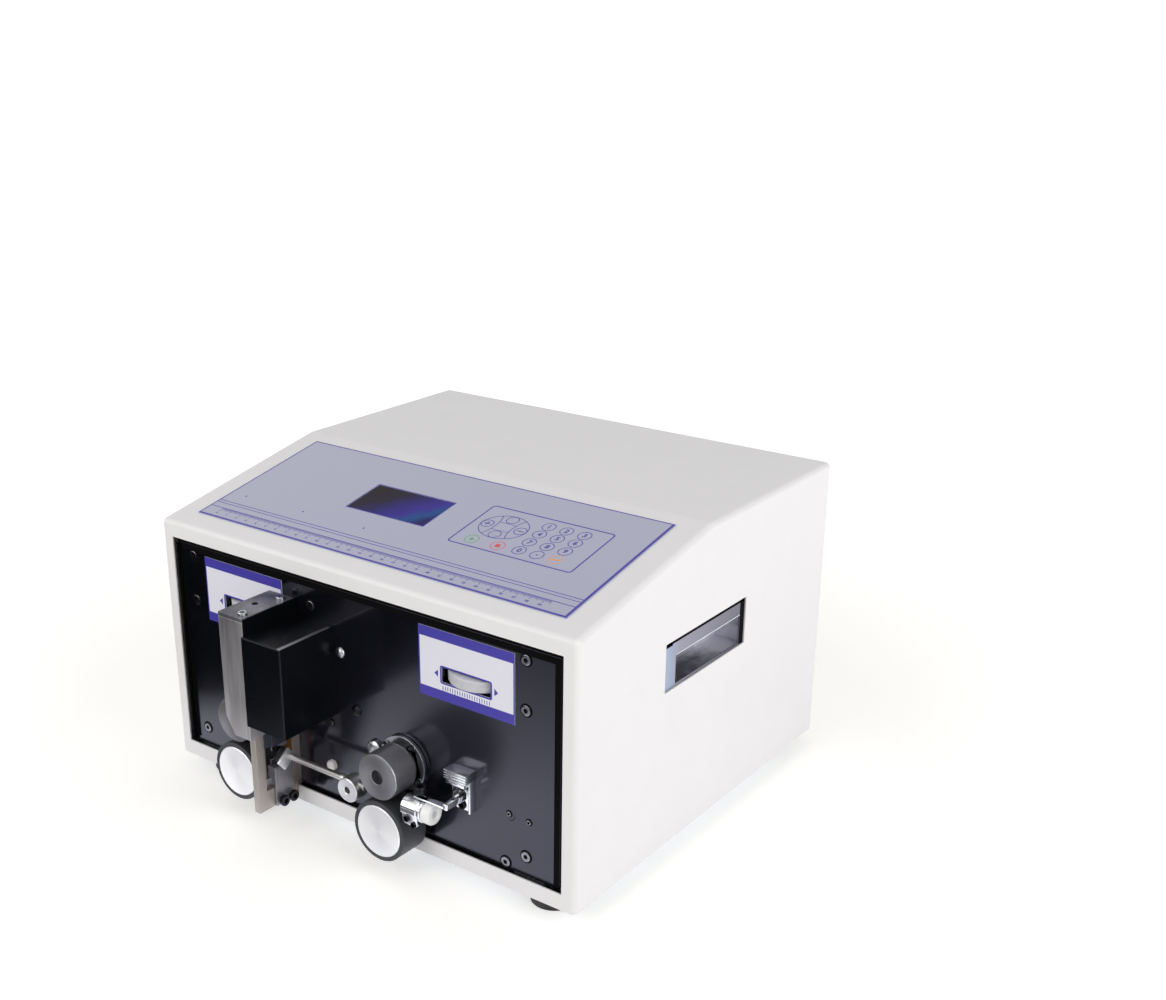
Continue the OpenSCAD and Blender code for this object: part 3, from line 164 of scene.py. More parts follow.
# white nylon thumbwheels: moulded and polished
grained("white_wheel", "polishedWhiteNylon", {"IOR": 1.5, "Coat Weight": 0.3, "Coat Roughness": 0.08},
        ("#bcbcc1", "#d0d0d5"), 5, (0.25, 0.35))
# ground rubber of the roller tyres: dark grey, with fine grinding rings
grained("roller_rubber", "groundRollerRubber", {"IOR": 1.52}, ("#26272a", "#37383c"), 1.4, (0.5, 0.68), 0.05,
        stretch=(1, 0.25, 1))
# parkerised steel of the knurled rollers: dark grey grain
grained("knurled_steel", "parkerisedSteel", {"Metallic": 0.9}, ("#77777c", "#c4c4c8"), 0.8, (0.28, 0.46), 0.05)
# silver-printed label film: pale, with a faint sparkle
grained("label_foil", "silverLabelFilm", {"IOR": 1.5}, ("#e0dfea", "#ebeaf3"), 0.8, (0.3, 0.42))
# green solder mask of the boards: glossy, uneven over the copper
grained("circuit_board", "greenSolderMask", {"IOR": 1.5}, ("#0f3b22", "#17502e"), 4, (0.25, 0.4))
# a painted highlight along the cover's bend: a soft line of bright grey metal laid on the enamel
grained("painted_highlight_edge", "paintedHighlightEdge", {"Metallic": 0.7}, ("#4a4a4c", "#a3a3a4"), 4, (0.3, 0.5), stretch=(1, 0.15, 1))
# blued steel of the upper blade holder: slate with a cool sheen
grained("blued_steel", "bluedHolderSteel", {"Metallic": 0.75}, ("#3d404a", "#585c68"), 0.9, (0.42, 0.58),
        stretch=(1, 1, 0.06))
# painted shade: matt black laid in the gap at the front plate's edge, round the plate screws and at the hand pockets,
# where these lie in shade; it takes the light
grained("painted_shade_black", "paintedShadeBlack", {"IOR": 1.45, "Specular IOR Level": 0.1}, ("#030304", "#070708"), 0.6,
        (0.85, 0.95), 0.04)
# screen-printing inks: a trifle raised and matt
for name, codes in {"blueInk": ("#38319a", "#413aa6"), "greenInk": ("#3fa45a", "#4fb269"),
                    "redInk": ("#d8434a", "#e25058"), "orangeInk": ("#e79a4c", "#efa85c"),
                    "bandInk": ("#3a339c", "#423aa8")}.items():
    grained(name, name, {"IOR": 1.5}, codes, 1.5, (0.35, 0.5))

# galvanised pressing of the hand pocket: cool grey zinc, the cup mottled, with painted light that makes it lighter to
# the back and below; the rim has its own tones, bluish in front, with painted shade dark behind
pocket = {"cup": ("#6c6c76", "#e4e4ee"), "rim": [(0, "#8f9db4"), (0.18, "#84828f"), (1, "#4d4c58")], "blot": 15}
tree, shader, place = newFinish("pocket_steel", "drawnPocketSteel", {"Metallic": 0.35})
axes = addNode(tree, "SeparateXYZ", {}, {"Vector": place})
depth = addNode(tree, "Math", "ABSOLUTE", {0: axes.outputs["X"]})
rimShare = addNode(tree, "MapRange", {}, {"Value": depth, "From": (0.1822, 0.183)})
smear = addNode(tree, "Mapping", {}, {"Vector": place, "Rotation": (radians(30), 0, 0), "Scale": (1, 0.6, 1.6)})
blot = addNode(tree, "TexNoise", {}, {"Vector": smear, "Scale": 1000 / pocket["blot"], "Detail": 4, "Roughness": 0.62})
# painted light: the cup is lighter to the back and below
lean = addNode(tree, "VectorMath", "DOT_PRODUCT", {0: place, 1: (0, 8, -12)})  # lighter back and below
lean = addNode(tree, "Math", "ADD", {0: blot, 1: lean})
light = addNode(tree, "MapRange", {}, {"Value": lean, "From": (-1.06, -0.64)})
cup = addNode(tree, "Mix", {"data_type": "RGBA"}, {"Factor": light, "A": pocket["cup"][0], "B": pocket["cup"][1]})
# painted shade: the rim's tone darkens from front to back
along = addNode(tree, "MapRange", {}, {"Value": axes.outputs["Y"], "From": (-0.036, 0.055)})
rim = addNode(tree, "ValToRGB", {"stops": pocket["rim"]}, {"Fac": along})
tone = addNode(tree, "Mix", {"data_type": "RGBA"}, {"Factor": rimShare, "A": cup, "B": rim})
rough = addNode(tree, "MapRange", {}, {"Value": blot, "To": (0.2, 0.42)})
setInputs(tree, shader, {"Base Color": tone, "Roughness": rough})


def steelStreaks(slot, name, tones, ramp, grain=1.6):
    # ground steel: long upright streaks of light and dark over a broader cloud
    tree, shader, place = newFinish(slot, name, {"Metallic": 0.85})
    fine = addNode(tree, "Mapping", {}, {"Vector": place, "Scale": (1, 1, 0.035)})
    broad = addNode(tree, "Mapping", {}, {"Vector": place, "Scale": (1, 1, 0.22)})
    streak = addNode(tree, "TexNoise", {}, {"Vector": fine, "Scale": 1000 / grain, "Detail": 4, "Roughness": 0.7})
    cloud = addNode(tree, "TexNoise", {}, {"Vector": broad, "Scale": 1000 / 22, "Detail": 2})
    both = addNode(tree, "Math", "MULTIPLY_ADD", {0: streak, 1: 0.35, 2: cloud})
    level = addNode(tree, "MapRange", {}, {"Value": both, "From": ramp})
    colour = addNode(tree, "Mix", {"data_type": "RGBA"}, {"Factor": level, "A": tones[0], "B": tones[1]})
    rough = addNode(tree, "MapRange", {}, {"Value": streak, "To": (0.42, 0.62)})
    bump = addNode(tree, "Bump", {}, {"Height": streak, "Strength": 0.25, "Distance": 0.00003})
    setInputs(tree, shader, {"Base Color": colour, "Roughness": rough, "Normal": bump})


steelStreaks("cap_steel", "groundCapSteel", ("#66656b", "#9e9ca4"), (0.45, 0.9))
steelStreaks("column_steel", "groundColumnSteel", ("#7d7b7d", "#d0cdce"), (0.45, 0.9))
steelStreaks("frame_steel", "groundFrameSteel", ("#867f79", "#bdb6ae"), (0.4, 0.9), 1.2)


def turnedMetal(name, centre, tones, settings, ringWidth, relief=0, fan=0):
    # a turned face: rings round its own axis, and a painted highlight in the base colour that fans out from the middle
    tree, shader, place = newFinish(name, name, settings)
    local = addNode(tree, "Mapping", {}, {"Vector": place, "Location": -(toFrame @ Vector(centre))})
    flat = addNode(tree, "VectorMath", "MULTIPLY", {0: local, 1: (1, 0, 1)})
    radius = addNode(tree, "VectorMath", "LENGTH", {0: flat})
    ring = addNode(tree, "TexNoise", {"noise_dimensions": "1D"},
                   {"W": radius, "Scale": 1000 / ringWidth, "Detail": 3, "Roughness": 0.8})
    axes = addNode(tree, "SeparateXYZ", {}, {"Vector": flat})
    angle = addNode(tree, "Math", "ARCTAN2", {0: axes.outputs["Z"], 1: axes.outputs["X"]})
    # painted highlight: a bow-tie of lighter and darker sectors about the axis, added to the colour
    twice = addNode(tree, "Math", "MULTIPLY_ADD", {0: angle, 1: 2, 2: radians(70)})
    paintedHighlight = addNode(tree, "Math", "SINE", {0: twice})
    factor = addNode(tree, "Math", "MULTIPLY_ADD", {0: paintedHighlight, 1: fan, 2: ring})
    colour = addNode(tree, "Mix", {"data_type": "RGBA"}, {"Factor": factor, "A": tones[0], "B": tones[1]})
    around = addNode(tree, "VectorMath", "CROSS_PRODUCT", {0: flat, 1: (0, 1, 0)})
    setInputs(tree, shader, {"Base Color": colour, "Tangent": around})
    if relief:
        bump = addNode(tree, "Bump", {}, {"Height": ring, "Strength": 0.3, "Distance": relief / 1000})
        setInputs(tree, shader, {"Normal": bump})
    return name


# printed polycarbonate film of the control panel: lavender grey with fine lines across
film = {"lineStep": 1.75, "tones": ("#9f9fb9", "#aeafc7")}
tree, shader, place = newFinish("overlay_film", "linedPanelFilm",
                                {"Roughness": 0.3, "IOR": 1.58, "Coat Weight": 0.4, "Coat Roughness": 0.12})
level = addNode(tree, "Mapping", {}, {"Vector": place, "Rotation": (-slopeAngle, 0, 0)})
lines = addNode(tree, "TexWave", {"bands_direction": "Y"},
                {"Vector": level, "Scale": 100 * pi / film["lineStep"], "Distortion": 0})
speck = addNode(tree, "TexNoise", {}, {"Vector": level, "Scale": 1400, "Detail": 2})
both = addNode(tree, "Math", "MULTIPLY_ADD", {0: speck, 1: 0.3, 2: lines.outputs["Fac"]})
colour = addNode(tree, "Mix", {"data_type": "RGBA"}, {"Factor": both, "A": film["tones"][0], "B": film["tones"][1]})
setInputs(tree, shader, {"Base Color": colour})

# unlit display glass: near black, with a painted sheen of violet and blue run across its colour
display = {"stops": [(0, "#181013"), (0.28, "#1c1230"), (0.5, "#291e78"), (0.68, "#392894"), (0.84, "#145090"),
                     (1, "#1d1462")], "corner": (0.065, 0.07, 0), "slant": -0.9}
tree, shader, place = newFinish("lcd_glass", "unlitDisplayGlass",
                                {"Roughness": 0.1, "IOR": 1.52, "Specular IOR Level": 0.06})
local = addNode(tree, "Mapping", {}, {"Vector": place, "Location": display["corner"]})
axes = addNode(tree, "SeparateXYZ", {}, {"Vector": local})
# painted sheen: a slanting ramp of violet and blue across the glass
slant = addNode(tree, "Math", "MULTIPLY_ADD", {0: axes.outputs["Y"], 1: display["slant"], 2: axes.outputs["X"]})
haze = addNode(tree, "TexNoise", {}, {"Vector": place, "Scale": 55, "Detail": 3})
mixed = addNode(tree, "Math", "MULTIPLY_ADD", {0: haze, 1: 0.02, 2: slant})
across = addNode(tree, "MapRange", {}, {"Value": mixed, "From": (-0.01, 0.075)})
setInputs(tree, shader, {"Base Color": addNode(tree, "ValToRGB", {"stops": display["stops"]}, {"Fac": across})})

slotOf = {part["node"]: part["material_slot"] for part in frame["record"]["subparts"]}
bodyOf = {node: body for body, nodes in frame["record"]["behaviour"]["bodies"].items() for node in nodes}
for node, thing in frame["nodes"].items():
    thing.data.materials.clear()
    thing.data.materials.append(finishes.get(slotOf[node], finishes["zinc_sheet"]))
print("finishes made:", len(finishes))


def addBox(shape, low, high):
    low, high = Vector(low), Vector(high)
    size = high - low
    bmesh.ops.create_cube(shape, size=1, matrix=Matrix.Translation((low + high) / 2) @ Matrix.Diagonal((*size, 1)))
    return shape


def joinShape(shape, part, place=Matrix()):
    bmesh.ops.transform(part, matrix=place, verts=part.verts)
    mesh = bpy.data.meshes.new("part")
    part.to_mesh(mesh)
    part.free()
    shape.from_mesh(mesh)
    bpy.data.meshes.remove(mesh)


def facing(x, y, z):
    # a place whose own z points to the front
    return Matrix.Translation((x, y, z)) @ forwards


def onPlate(x, z, out=0):
    # a place on the front plate, whose own z points out of it
    return Matrix.Translation((0, 4, 0)) @ forwards @ Matrix.Translation((x, z, out))


def addTurned(shape, profile, place=Matrix(), steps=64, loop=False):
    # a profile of (radius, height) points spun about z
    part = bmesh.new()
    verts = [part.verts.new((r, 0, z)) for r, z in profile]
    edges = [part.edges.new(pair) for pair in zip(verts, verts[1:] + (verts[:1] if loop else []))]
    bmesh.ops.spin(part, geom=verts + edges, cent=(0, 0, 0), axis=(0, 0, 1), angle=2 * pi, steps=steps, use_merge=True)
    bmesh.ops.remove_doubles(part, verts=part.verts, dist=0.001)
    joinShape(shape, part, place)
    return shape


def addSocketScrew(shape, place, radius, height, socket=0.52, depth=0.6):
    # loops of 24 points bridged in turn, the inner ones drawn to a hexagon
    part = bmesh.new()
    loops = []
    for r, z, six in ((radius, min(0, height * (1 - depth) - 0.2), 0), (radius, height * 0.84, 0),
                      (radius * 0.9, height, 0), (radius * (socket + 0.12), height, 0),
                      (radius * socket, height * 0.96, 1), (radius * socket, height * (1 - depth), 1)):
        made = bmesh.ops.create_circle(part, segments=24, radius=r, matrix=Matrix.Translation((0, 0, z)))["verts"]
        if six:
            for v in made:
                turn = degrees(atan2(v.co.y, v.co.x)) % 60 - 30
                pull = cos(radians(30)) / cos(radians(turn))
                v.co.x, v.co.y = v.co.x * pull, v.co.y * pull
        loops.append(list({e for v in made for e in v.link_edges}))
    for a, b in zip(loops, loops[1:]):
        bmesh.ops.bridge_loops(part, edges=a + b)
    for end in (loops[0], loops[-1]):
        bmesh.ops.edgeloop_fill(part, edges=end)
    joinShape(shape, part, place)


def breakEdges(shape, width, segments, fromAngle=30):
    edges = [e for e in shape.edges if e.is_manifold and e.calc_face_angle(0) > radians(fromAngle)]
    bmesh.ops.bevel(shape, geom=edges, offset=width, segments=segments, affect="EDGES", profile=0.5, material=-1)


def makePiece(name, shape, finish, body="cabinet", replaced=(), place=Matrix(), sharp=38, bevel=None,
              flat=False):
    # closes a shape's seams, turns its faces outward, sets it in the frame and hands it to its body, in the finish of
    # the slot it is given
    bmesh.ops.remove_doubles(shape, verts=shape.verts, dist=0.0005)
    bmesh.ops.recalc_face_normals(shape, faces=shape.faces)
    if bevel:
        breakEdges(shape, *bevel)
    mesh = bpy.data.meshes.new(name)
    shape.to_mesh(mesh)
    shape.free()
    mesh.transform(toFrame @ place)
    mesh.shade_smooth()
    mesh.set_sharp_from_angle(angle=radians(sharp))
    mesh.materials.append(finishes[finish])
    piece = bpy.data.objects.new(name, mesh)
    bpy.context.scene.collection.objects.link(piece)
    if flat:
        piece.modifiers.new("evenFaces", "WEIGHTED_NORMAL").keep_sharp = True
    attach(piece, body)
    if replaced:
        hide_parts(*replaced)
    return piece


def softened(node, name, width, segments=2, fromAngle=30, finish=None):
    # a merged copy of a machined or pressed solid with its edges broken, which stands for it
    shape = bmesh.new()
    shape.from_mesh(frame["nodes"][node].data)
    bmesh.ops.transform(shape, matrix=toFrame.inverted(), verts=shape.verts)
    bmesh.ops.remove_doubles(shape, verts=shape.verts, dist=0.01)
    bmesh.ops.dissolve_limit(shape, angle_limit=radians(1), verts=shape.verts, edges=shape.edges)
    breakEdges(shape, width, segments, fromAngle)
    return makePiece(name, shape, finish or slotOf[node], bodyOf[node], (node,), flat=True)


# Cabinet: the folded shell and its panels with their edges broken
softened("cabinet_cover", "cabinetShell", 0.3, 2, 60)
softened("front_plate", "frontPlate", 0.25)
feet = {"x": 0.149, "ys": (-0.113, 0.157), "bore": 0.009, "swell": 1.14, "lean": 0.003}
feetPiece = softened("rubber_feet", "rubberFeet", 0.8, 3)
for v in feetPiece.data.vertices:  # the rubber swells a little, most towards its corner of the cabinet
    side, end = (1 if v.co.x > 0 else -1), (1 if v.co.y > 0 else -1)
    middle = Vector((side * feet["x"], feet["ys"][end > 0], v.co.z))
    if (v.co - middle).length > feet["bore"]:
        v.co = middle + (v.co - middle) * feet["swell"] + Vector((side, end, 0)) * feet["lean"]
softened("handle_pockets", "handPockets", 0.35)
softened("rear_panel", "rearPanel", 0.2, 1, 60)

# painted shade: matt black strips along the rear edge, the top and the front top corner of each hand pocket, where the
# gap to the sheet lies in shade
pocketTrim = {"x": 183.4, "rise": 0.25, "front": 100, "rear": 205, "low": 116.6, "high": 151.6, "band": 5.6,
              "line": 3, "cornerLength": 10, "cornerLine": 4, "highlightLine": (115, 139.1, 199, 139.55)}
size = pocketTrim
shadeStrips, highlightLine = bmesh.new(), bmesh.new()
front, rear, high = size["front"], size["rear"], size["high"]
for side in (-1, 1):
    out, face = side * (size["x"] + size["rise"]), side * size["x"]
    for shape, y0, z0, y1, z1 in ((shadeStrips, rear - size["band"], size["low"], rear, high),
                                  (shadeStrips, front, high - size["line"], rear, high),
                                  (shadeStrips, front, high - size["cornerLine"], front + size["cornerLength"], high),
                                  (highlightLine, *size["highlightLine"])):
        addBox(shape, (min(out, face), y0, z0), (max(out, face), y1, z1))
makePiece("pocketPaintedShade", shadeStrips, "painted_shade_black")
# painted highlight: a thin strip of pale steel laid where the grip lip's edge catches the light
makePiece("pocketHighlightLine", highlightLine, "hub_steel")
print("cabinet done")

# Screen print on the panel film, at (x, v) up the slope: borders, a rule in centimetres, key rings and plain signs
inkHeight = 0.05


def addPrint(shape, figure, line=0):
    # lifts a flat figure, or only the band along its edge, into a thin layer of ink
    if line:
        band = bmesh.ops.inset_region(figure, faces=figure.faces[:], thickness=line, use_boundary=True,
                                      use_even_offset=True)["faces"]
        bmesh.ops.delete(figure, geom=[face for face in figure.faces if face not in band], context="FACES")
    lifted = bmesh.ops.extrude_face_region(figure, geom=figure.faces[:])["geom"]
    bmesh.ops.translate(figure, verts=[v for v in lifted if isinstance(v, bmesh.types.BMVert)], vec=(0, 0, inkHeight))
    joinShape(shape, figure)


def ovalFigure(x, v, wide, tall, steps=48, turn=0):
    figure = bmesh.new()
    place = Matrix.Translation((x, v, 0)) @ Matrix.Diagonal((wide, tall, 1, 1)) @ Matrix.Rotation(turn, 4, "Z")
    bmesh.ops.create_circle(figure, cap_ends=True, segments=steps, radius=1, matrix=place)
    return figure


def cornerFigure(x0, v0, x1, v1, corner=0):
    figure = bmesh.new()
    place = Matrix.Translation(((x0 + x1) / 2, (v0 + v1) / 2, 0)) @ Matrix.Diagonal((x1 - x0, v1 - v0, 1, 1))
    bmesh.ops.create_grid(figure, x_segments=1, y_segments=1, size=0.5, matrix=place)
    if corner:
        bmesh.ops.bevel(figure, geom=figure.verts[:], offset=corner, segments=6, affect="VERTICES", profile=0.5,
                        material=-1)
    return figure


def arcFigure(x, v, radius, line, start, sweep):
    figure, centre = bmesh.new(), Vector((x, v, 0))
    ends = [figure.verts.new((x + radius + side * line / 2, v, 0)) for side in (-1, 1)]
    edge = figure.edges.new(ends)
    bmesh.ops.rotate(figure, verts=ends, cent=centre, matrix=Matrix.Rotation(start, 3, "Z"))
    bmesh.ops.spin(figure, geom=ends + [edge], cent=centre, axis=(0, 0, 1), angle=sweep, steps=20)
    return figure


def addNumeral(shape, text, size, x, v, bold):
    # a plain numeral, made a mesh and centred on a point
    curve = bpy.data.curves.new("numeral", "FONT")
    curve.body, curve.size, curve.offset, curve.resolution_u = text, size, bold, 3
    curve.align_x, curve.align_y, curve.extrude = "CENTER", "CENTER", inkHeight / 2
    holder = bpy.data.objects.new("numeral", curve)
    mesh = bpy.data.meshes.new_from_object(holder)
    bpy.data.objects.remove(holder)
    bpy.data.curves.remove(curve)
    mesh.transform(Matrix.Translation((x, v, inkHeight / 2)))
    shape.from_mesh(mesh)
    bpy.data.meshes.remove(mesh)


panelPrint = {"low": 0.79, "half": 164, "front": 17.7, "rear": 143.7, "edge": 1, "frontEdge": 1.8, "sideEdge": 2.1,
              "rules": (36, 39), "scale": 30, "ticks": (2.2, 3.2, 4.4), "tickLine": 0.4, "numeralAt": 23.2,
              "numeral": 2.7, "line": 0.6, "keys": (34, 62, 136, 116), "keyCorner": 3, "keyEdge": 1.1, "keyRing": 5.1,
              "keySize": 6.2, "keyColumns": (88, 102.5, 117), "keyRows": (106, 95, 83.5, 72),
              "dots": (-148, -89.6, -31), "dotsAt": 51, "display": (-65.9, 70.1, 6.9, 107.4), "displayEdge": 0.85}
size = panelPrint
level = onPanel @ Matrix.Translation((0, 0, size["low"]))
half, front, rear, edge, line = (size[key] for key in ("half", "front", "rear", "edge", "line"))
inner = half - size["sideEdge"]
shape = bmesh.new()
addPrint(shape, cornerFigure(-half, front, half, rear), edge)
strips = [(edge - half, front + edge, half - edge, front + size["frontEdge"]),
          (inner, front + size["frontEdge"], half - edge, rear - edge)]
strips += [(edge - half, v, inner, v + line) for v in (*size["rules"], size["scale"])]
for step in range(296):  # a tick each millimetre, longer at five and at ten
    drop = size["ticks"][2 if step % 10 == 0 else 1 if step % 5 == 0 else 0]
    x = step - 150 - size["tickLine"] / 2
    strips.append((x, size["scale"] - drop, x + size["tickLine"], size["scale"]))
for strip in strips:
    addPrint(shape, cornerFigure(*strip))
for n in range(30):
    addNumeral(shape, str(n), size["numeral"], n * 10 - 150, size["numeralAt"], 0.1)
addPrint(shape, cornerFigure(*size["keys"], size["keyCorner"]), size["keyEdge"])
addPrint(shape, cornerFigure(*size["display"]), size["displayEdge"])
for x in size["dots"]:
    addPrint(shape, ovalFigure(x, size["dotsAt"], 0.8, 0.8, 20))
for v, row in zip(size["keyRows"], ("123", "456", "789", "0.")):
    for x, sign in zip(size["keyColumns"], row):
        addPrint(shape, ovalFigure(x, v, size["keyRing"], size["keyRing"]), line)
        if sign == ".":
            addPrint(shape, ovalFigure(x, v, 0.7, 0.7, 16))
        else:
            addNumeral(shape, sign, size["keySize"], x, v, 0.2)

# its direction pad: an oval round four rings, with arrows up and down, bars left and right and a waist between
pad = {"centre": (59.5, 93), "wide": 19, "tall": 15.3, "ring": 4.8, "gap": 0.2, "waistAt": 35.7, "waist": 28.9,
       "waistSweep": 52.8, "barAt": 5, "barHalf": 7, "barLine": 0.2, "signAt": 14, "signHalf": (2.6, 0.4),
       "arrow": ((-1.1, -3.2), (1.1, -3.2), (1.1, 0.8), (2.5, 0.8), (0, 3.4), (-2.5, 0.8), (-1.1, 0.8)),
       "arrowLine": 0.42, "plusAt": 1.5, "plusHalf": (0.4, 1.1)}
x, v = pad["centre"]
ring, inset = pad["ring"], pad["ring"] + pad["gap"]
addPrint(shape, ovalFigure(x, v, pad["wide"], pad["tall"], 72), line)
for side in (-1, 1):
    sweep = radians(pad["waistSweep"])
    start = (0 if side < 0 else pi) - sweep / 2
    addPrint(shape, arcFigure(x + side * pad["waistAt"], v, pad["waist"], line, start, sweep))
    bar, up, along = v + side * pad["barAt"], v + side * (pad["tall"] - inset), x + side * pad["signAt"]
    addPrint(shape, cornerFigure(x - pad["barHalf"], bar - pad["barLine"], x + pad["barHalf"], bar + pad["barLine"]))
    addPrint(shape, ovalFigure(x + side * (pad["wide"] - inset), v, ring, ring), line)
    addPrint(shape, ovalFigure(x, up, ring, ring), line)
    wide, tall = pad["signHalf"]
    addPrint(shape, cornerFigure(along - wide, v - tall, along + wide, v + tall))
    arrow = bmesh.new()
    arrow.faces.new([arrow.verts.new((x + across, up + side * rise, 0)) for across, rise in pad["arrow"]])
    addPrint(shape, arrow, pad["arrowLine"])
wide, tall = pad["plusHalf"]
for end in (-pad["plusAt"], pad["plusAt"]):  # makes the left bar a plus
    middle = x - pad["signAt"]
    addPrint(shape, cornerFigure(middle - wide, v + end - tall, middle + wide, v + end + tall))
makePiece("panelPrintBlue", shape, "blueInk", place=level)

# coloured keys: a triangle, a square and a bar, each in a ring about (x, v)
colourKeys = {"Green": (49, 71), "Red": (71, 71), "Orange": (117, 72), "ring": 5.3, "line": 0.5}
for name, sign in {"Green": ovalFigure(49, 71, 2.5, 2.5, 3, -pi / 2), "Red": cornerFigure(69.1, 69.1, 72.9, 72.9),
                   "Orange": cornerFigure(113.9, 71.1, 120.1, 72.9, 0.3)}.items():
    shape = bmesh.new()
    addPrint(shape, ovalFigure(*colourKeys[name], colourKeys["ring"], colourKeys["ring"]), colourKeys["line"])
    addPrint(shape, sign)
    makePiece("panelPrint" + name, shape, name.lower() + "Ink", place=level)

# Print on the two roller labels, at (x, z) on the plate: bands, the slot's rim, pointers and a small scale
labelPrint = {"low": 0.49, "foot": 118, "head": 167, "band": 7, "side": 1, "middle": 136.2, "slot": (20, 5.25),
              "rim": 1.2, "labels": ((96.4, 57.4, 135.4, 135.4), (-106, -145, -67, -79.7)), "columnTop": 157.2,
              "tickStep": 2, "tickHalf": 0.25, "tickTop": 7.7, "tickFoot": (10.6, 11.2), "pointerAt": 24}
size = labelPrint
low, high, z, band = size["foot"], size["head"], size["middle"], size["band"]
wide, tall = (half + size["rim"] for half in size["slot"])
shape = bmesh.new()
for middle, x0, x1, cut in size["labels"]:
    strips = [(x0, high - band, x1, high), (x0, low, cut, low + band),
              (x0, low + band, x0 + size["side"], high - band),
              (x1 - size["side"], low + band if cut == x1 else size["columnTop"], x1, high - band)]
    for i in range(20):
        x, line = middle + size["tickStep"] * (i - 9.5), size["tickHalf"]
        strips.append((x - line, z - size["tickFoot"][i % 5 == 0], x + line, z - size["tickTop"]))
    for strip in strips:
        addPrint(shape, cornerFigure(*strip))
    addPrint(shape, cornerFigure(middle - wide, z - tall, middle + wide, z + tall, 1.6), size["rim"])
    for end in (-1, 1):
        addPrint(shape, ovalFigure(middle + end * size["pointerAt"], z, 2, 3, 3, -end * pi / 2))
makePiece("labelPrint", shape, "bandInk", place=onPlate(0, 0, size["low"]))
print("prints done")

# Socket screws on the front plate, at (x, z) of the machine, each ringed by painted shade: a matt black ring round the
# head and a black disc in the socket
plateScrews = {"columns": (-157.2, 144.07), "rows": (165, 130.73, 26.3), "odd": ((-40, 155), (127.6, 16.5)),
               "head": 3.55, "seat": 4.7, "rise": 1, "small": ((130.5, 53.1), (146.4, 52.3), (-25, 70.7)),
               "smallHead": 1.7, "smallSeat": 2.6}
size = plateScrews
large = [(x, z) for x in size["columns"] for z in size["rows"]] + list(size["odd"])
shape, screwShade = bmesh.new(), bmesh.new()
for spots, radius, seat in ((large, size["head"], size["seat"]), (size["small"], size["smallHead"], size["smallSeat"])):
    for x, z in spots:
        addSocketScrew(shape, onPlate(x, z, -0.1), radius, size["rise"], 0.5, 1.9)
        addTurned(screwShade, [(radius - 0.1, 0.3), (seat - 0.3, 0.3), (seat, 0.1), (seat, -0.2), (radius - 0.1, -0.2)],
                  onPlate(x, z), 32, True)
        # painted shade: a matt black disc set in each socket, near the head's face
        dark = radius * 0.43  # the dark of the socket, a disc near the head's face
        addTurned(screwShade, [(0, 0.62), (dark, 0.62), (dark, 0.2), (0, 0.2)], onPlate(x, z), 24)
makePiece("plateSocketScrews", shape, "plate_screw", replaced=("plate_screws",))
makePiece("screwPaintedShade", screwShade, "painted_shade_black")

# painted shade: matt black strips round the plate, where the gaps to the cabinet lie in shade; the brow closes the slit
# over it, which would show the bare metal inside
plateShadeStrips = {"left": ((-170.3, 3.7, 13.6), (-168.6, 4.1, 172.8)), "right": ((166, 3.7, 13.6), (170.3, 4.1, 172.8)),
             "head": ((-168.6, 3.7, 168.3), (166, 4.1, 172.8)), "return": ((-171.3, 0.4, 13.6), (-170.4, 4, 172.8)),
             "brow": ((-174, 4.2, 172.9), (174, 5.6, 178.6))}
shape = bmesh.new()
for low, high in plateShadeStrips.values():
    addBox(shape, low, high)
makePiece("platePaintedShade", shape, "painted_shade_black")

plateFoot = {"low": (-170.3, 4, 12.1), "high": (170.3, 5.5, 13.6), "blank": 4.4}
shape = bmesh.new()
addBox(shape, plateFoot["low"], plateFoot["high"])
for x, z in plateScrews["small"]:  # paint round the small screws
    blank = plateFoot["blank"]
    addTurned(shape, [(0, 0.02), (blank, 0.02), (blank, -0.4), (0, -0.4)], onPlate(x, z), 32)
makePiece("plateFoot", shape, "black_plate")

# domes and the conduit's buffer: (radius, height) profiles, each at (x, z) with its steps round
domes = {"small": [(0, 2.5), (1.9, 2.1), (3.6, 1.2), (4.2, 0.3), (4.2, -0.2), (0, -0.2)],
         "wide": [(0, 3.4), (3.2, 3.4), (3.9, 3), (5.5, 2.7), (6, 2.2), (6, -0.2), (0, -0.2)],
         "buffer": [(0, 4), (2, 3.9), (3.2, 3.4), (3.9, 2.4), (3.9, -0.2), (0, -0.2)]}
for name, finish, slot, spots in (
        ("domeNuts", "screw_steel", "screw_steel", (("small", -14.2, 127, 32), ("wide", 15.5, 64, 40))),
        ("blackDome", "black_screw", "screw_steel", (("small", -0.8, 87.3, 32),)),
        ("conduitBuffer", "white_plastic", "white_plastic", (("buffer", -26, 37.5, 40),))):
    shape = bmesh.new()
    for profile, x, z, steps in spots:
        addTurned(shape, domes[profile], onPlate(x, z), steps)
    makePiece(name, shape, finish)
print("front plate done")

# Cutter head: column, cap, frame and blade holders
softened("cutter_column", "cutterColumn", 0.4)
softened("column_cap", "columnCap", 0.35, finish="cap_steel")
softened("blade_frame", "bladeFrame", 0.4)
softened("upper_blade_holder", "upperHolder", 0.3, finish="blued_steel")
softened("lower_blade_holder", "lowerHolder", 0.3)
capScrews = {"x": -60.5, "ys": (-39, -4), "z": 156.9, "radius": 3.4, "height": 2.6, "grub": (-69, -20, 156.9)}
shape = bmesh.new()
for y in capScrews["ys"]:
    addSocketScrew(shape, Matrix.Translation((capScrews["x"], y, capScrews["z"])), capScrews["radius"],
                   capScrews["height"])
makePiece("capScrews", shape, "screw_steel", replaced=("column_screws",))
shape = bmesh.new()
addSocketScrew(shape, Matrix.Translation(capScrews["grub"]), 2.2, 0.4, 0.6, 0.7)
makePiece("capGrubScrew", shape, "black_screw")

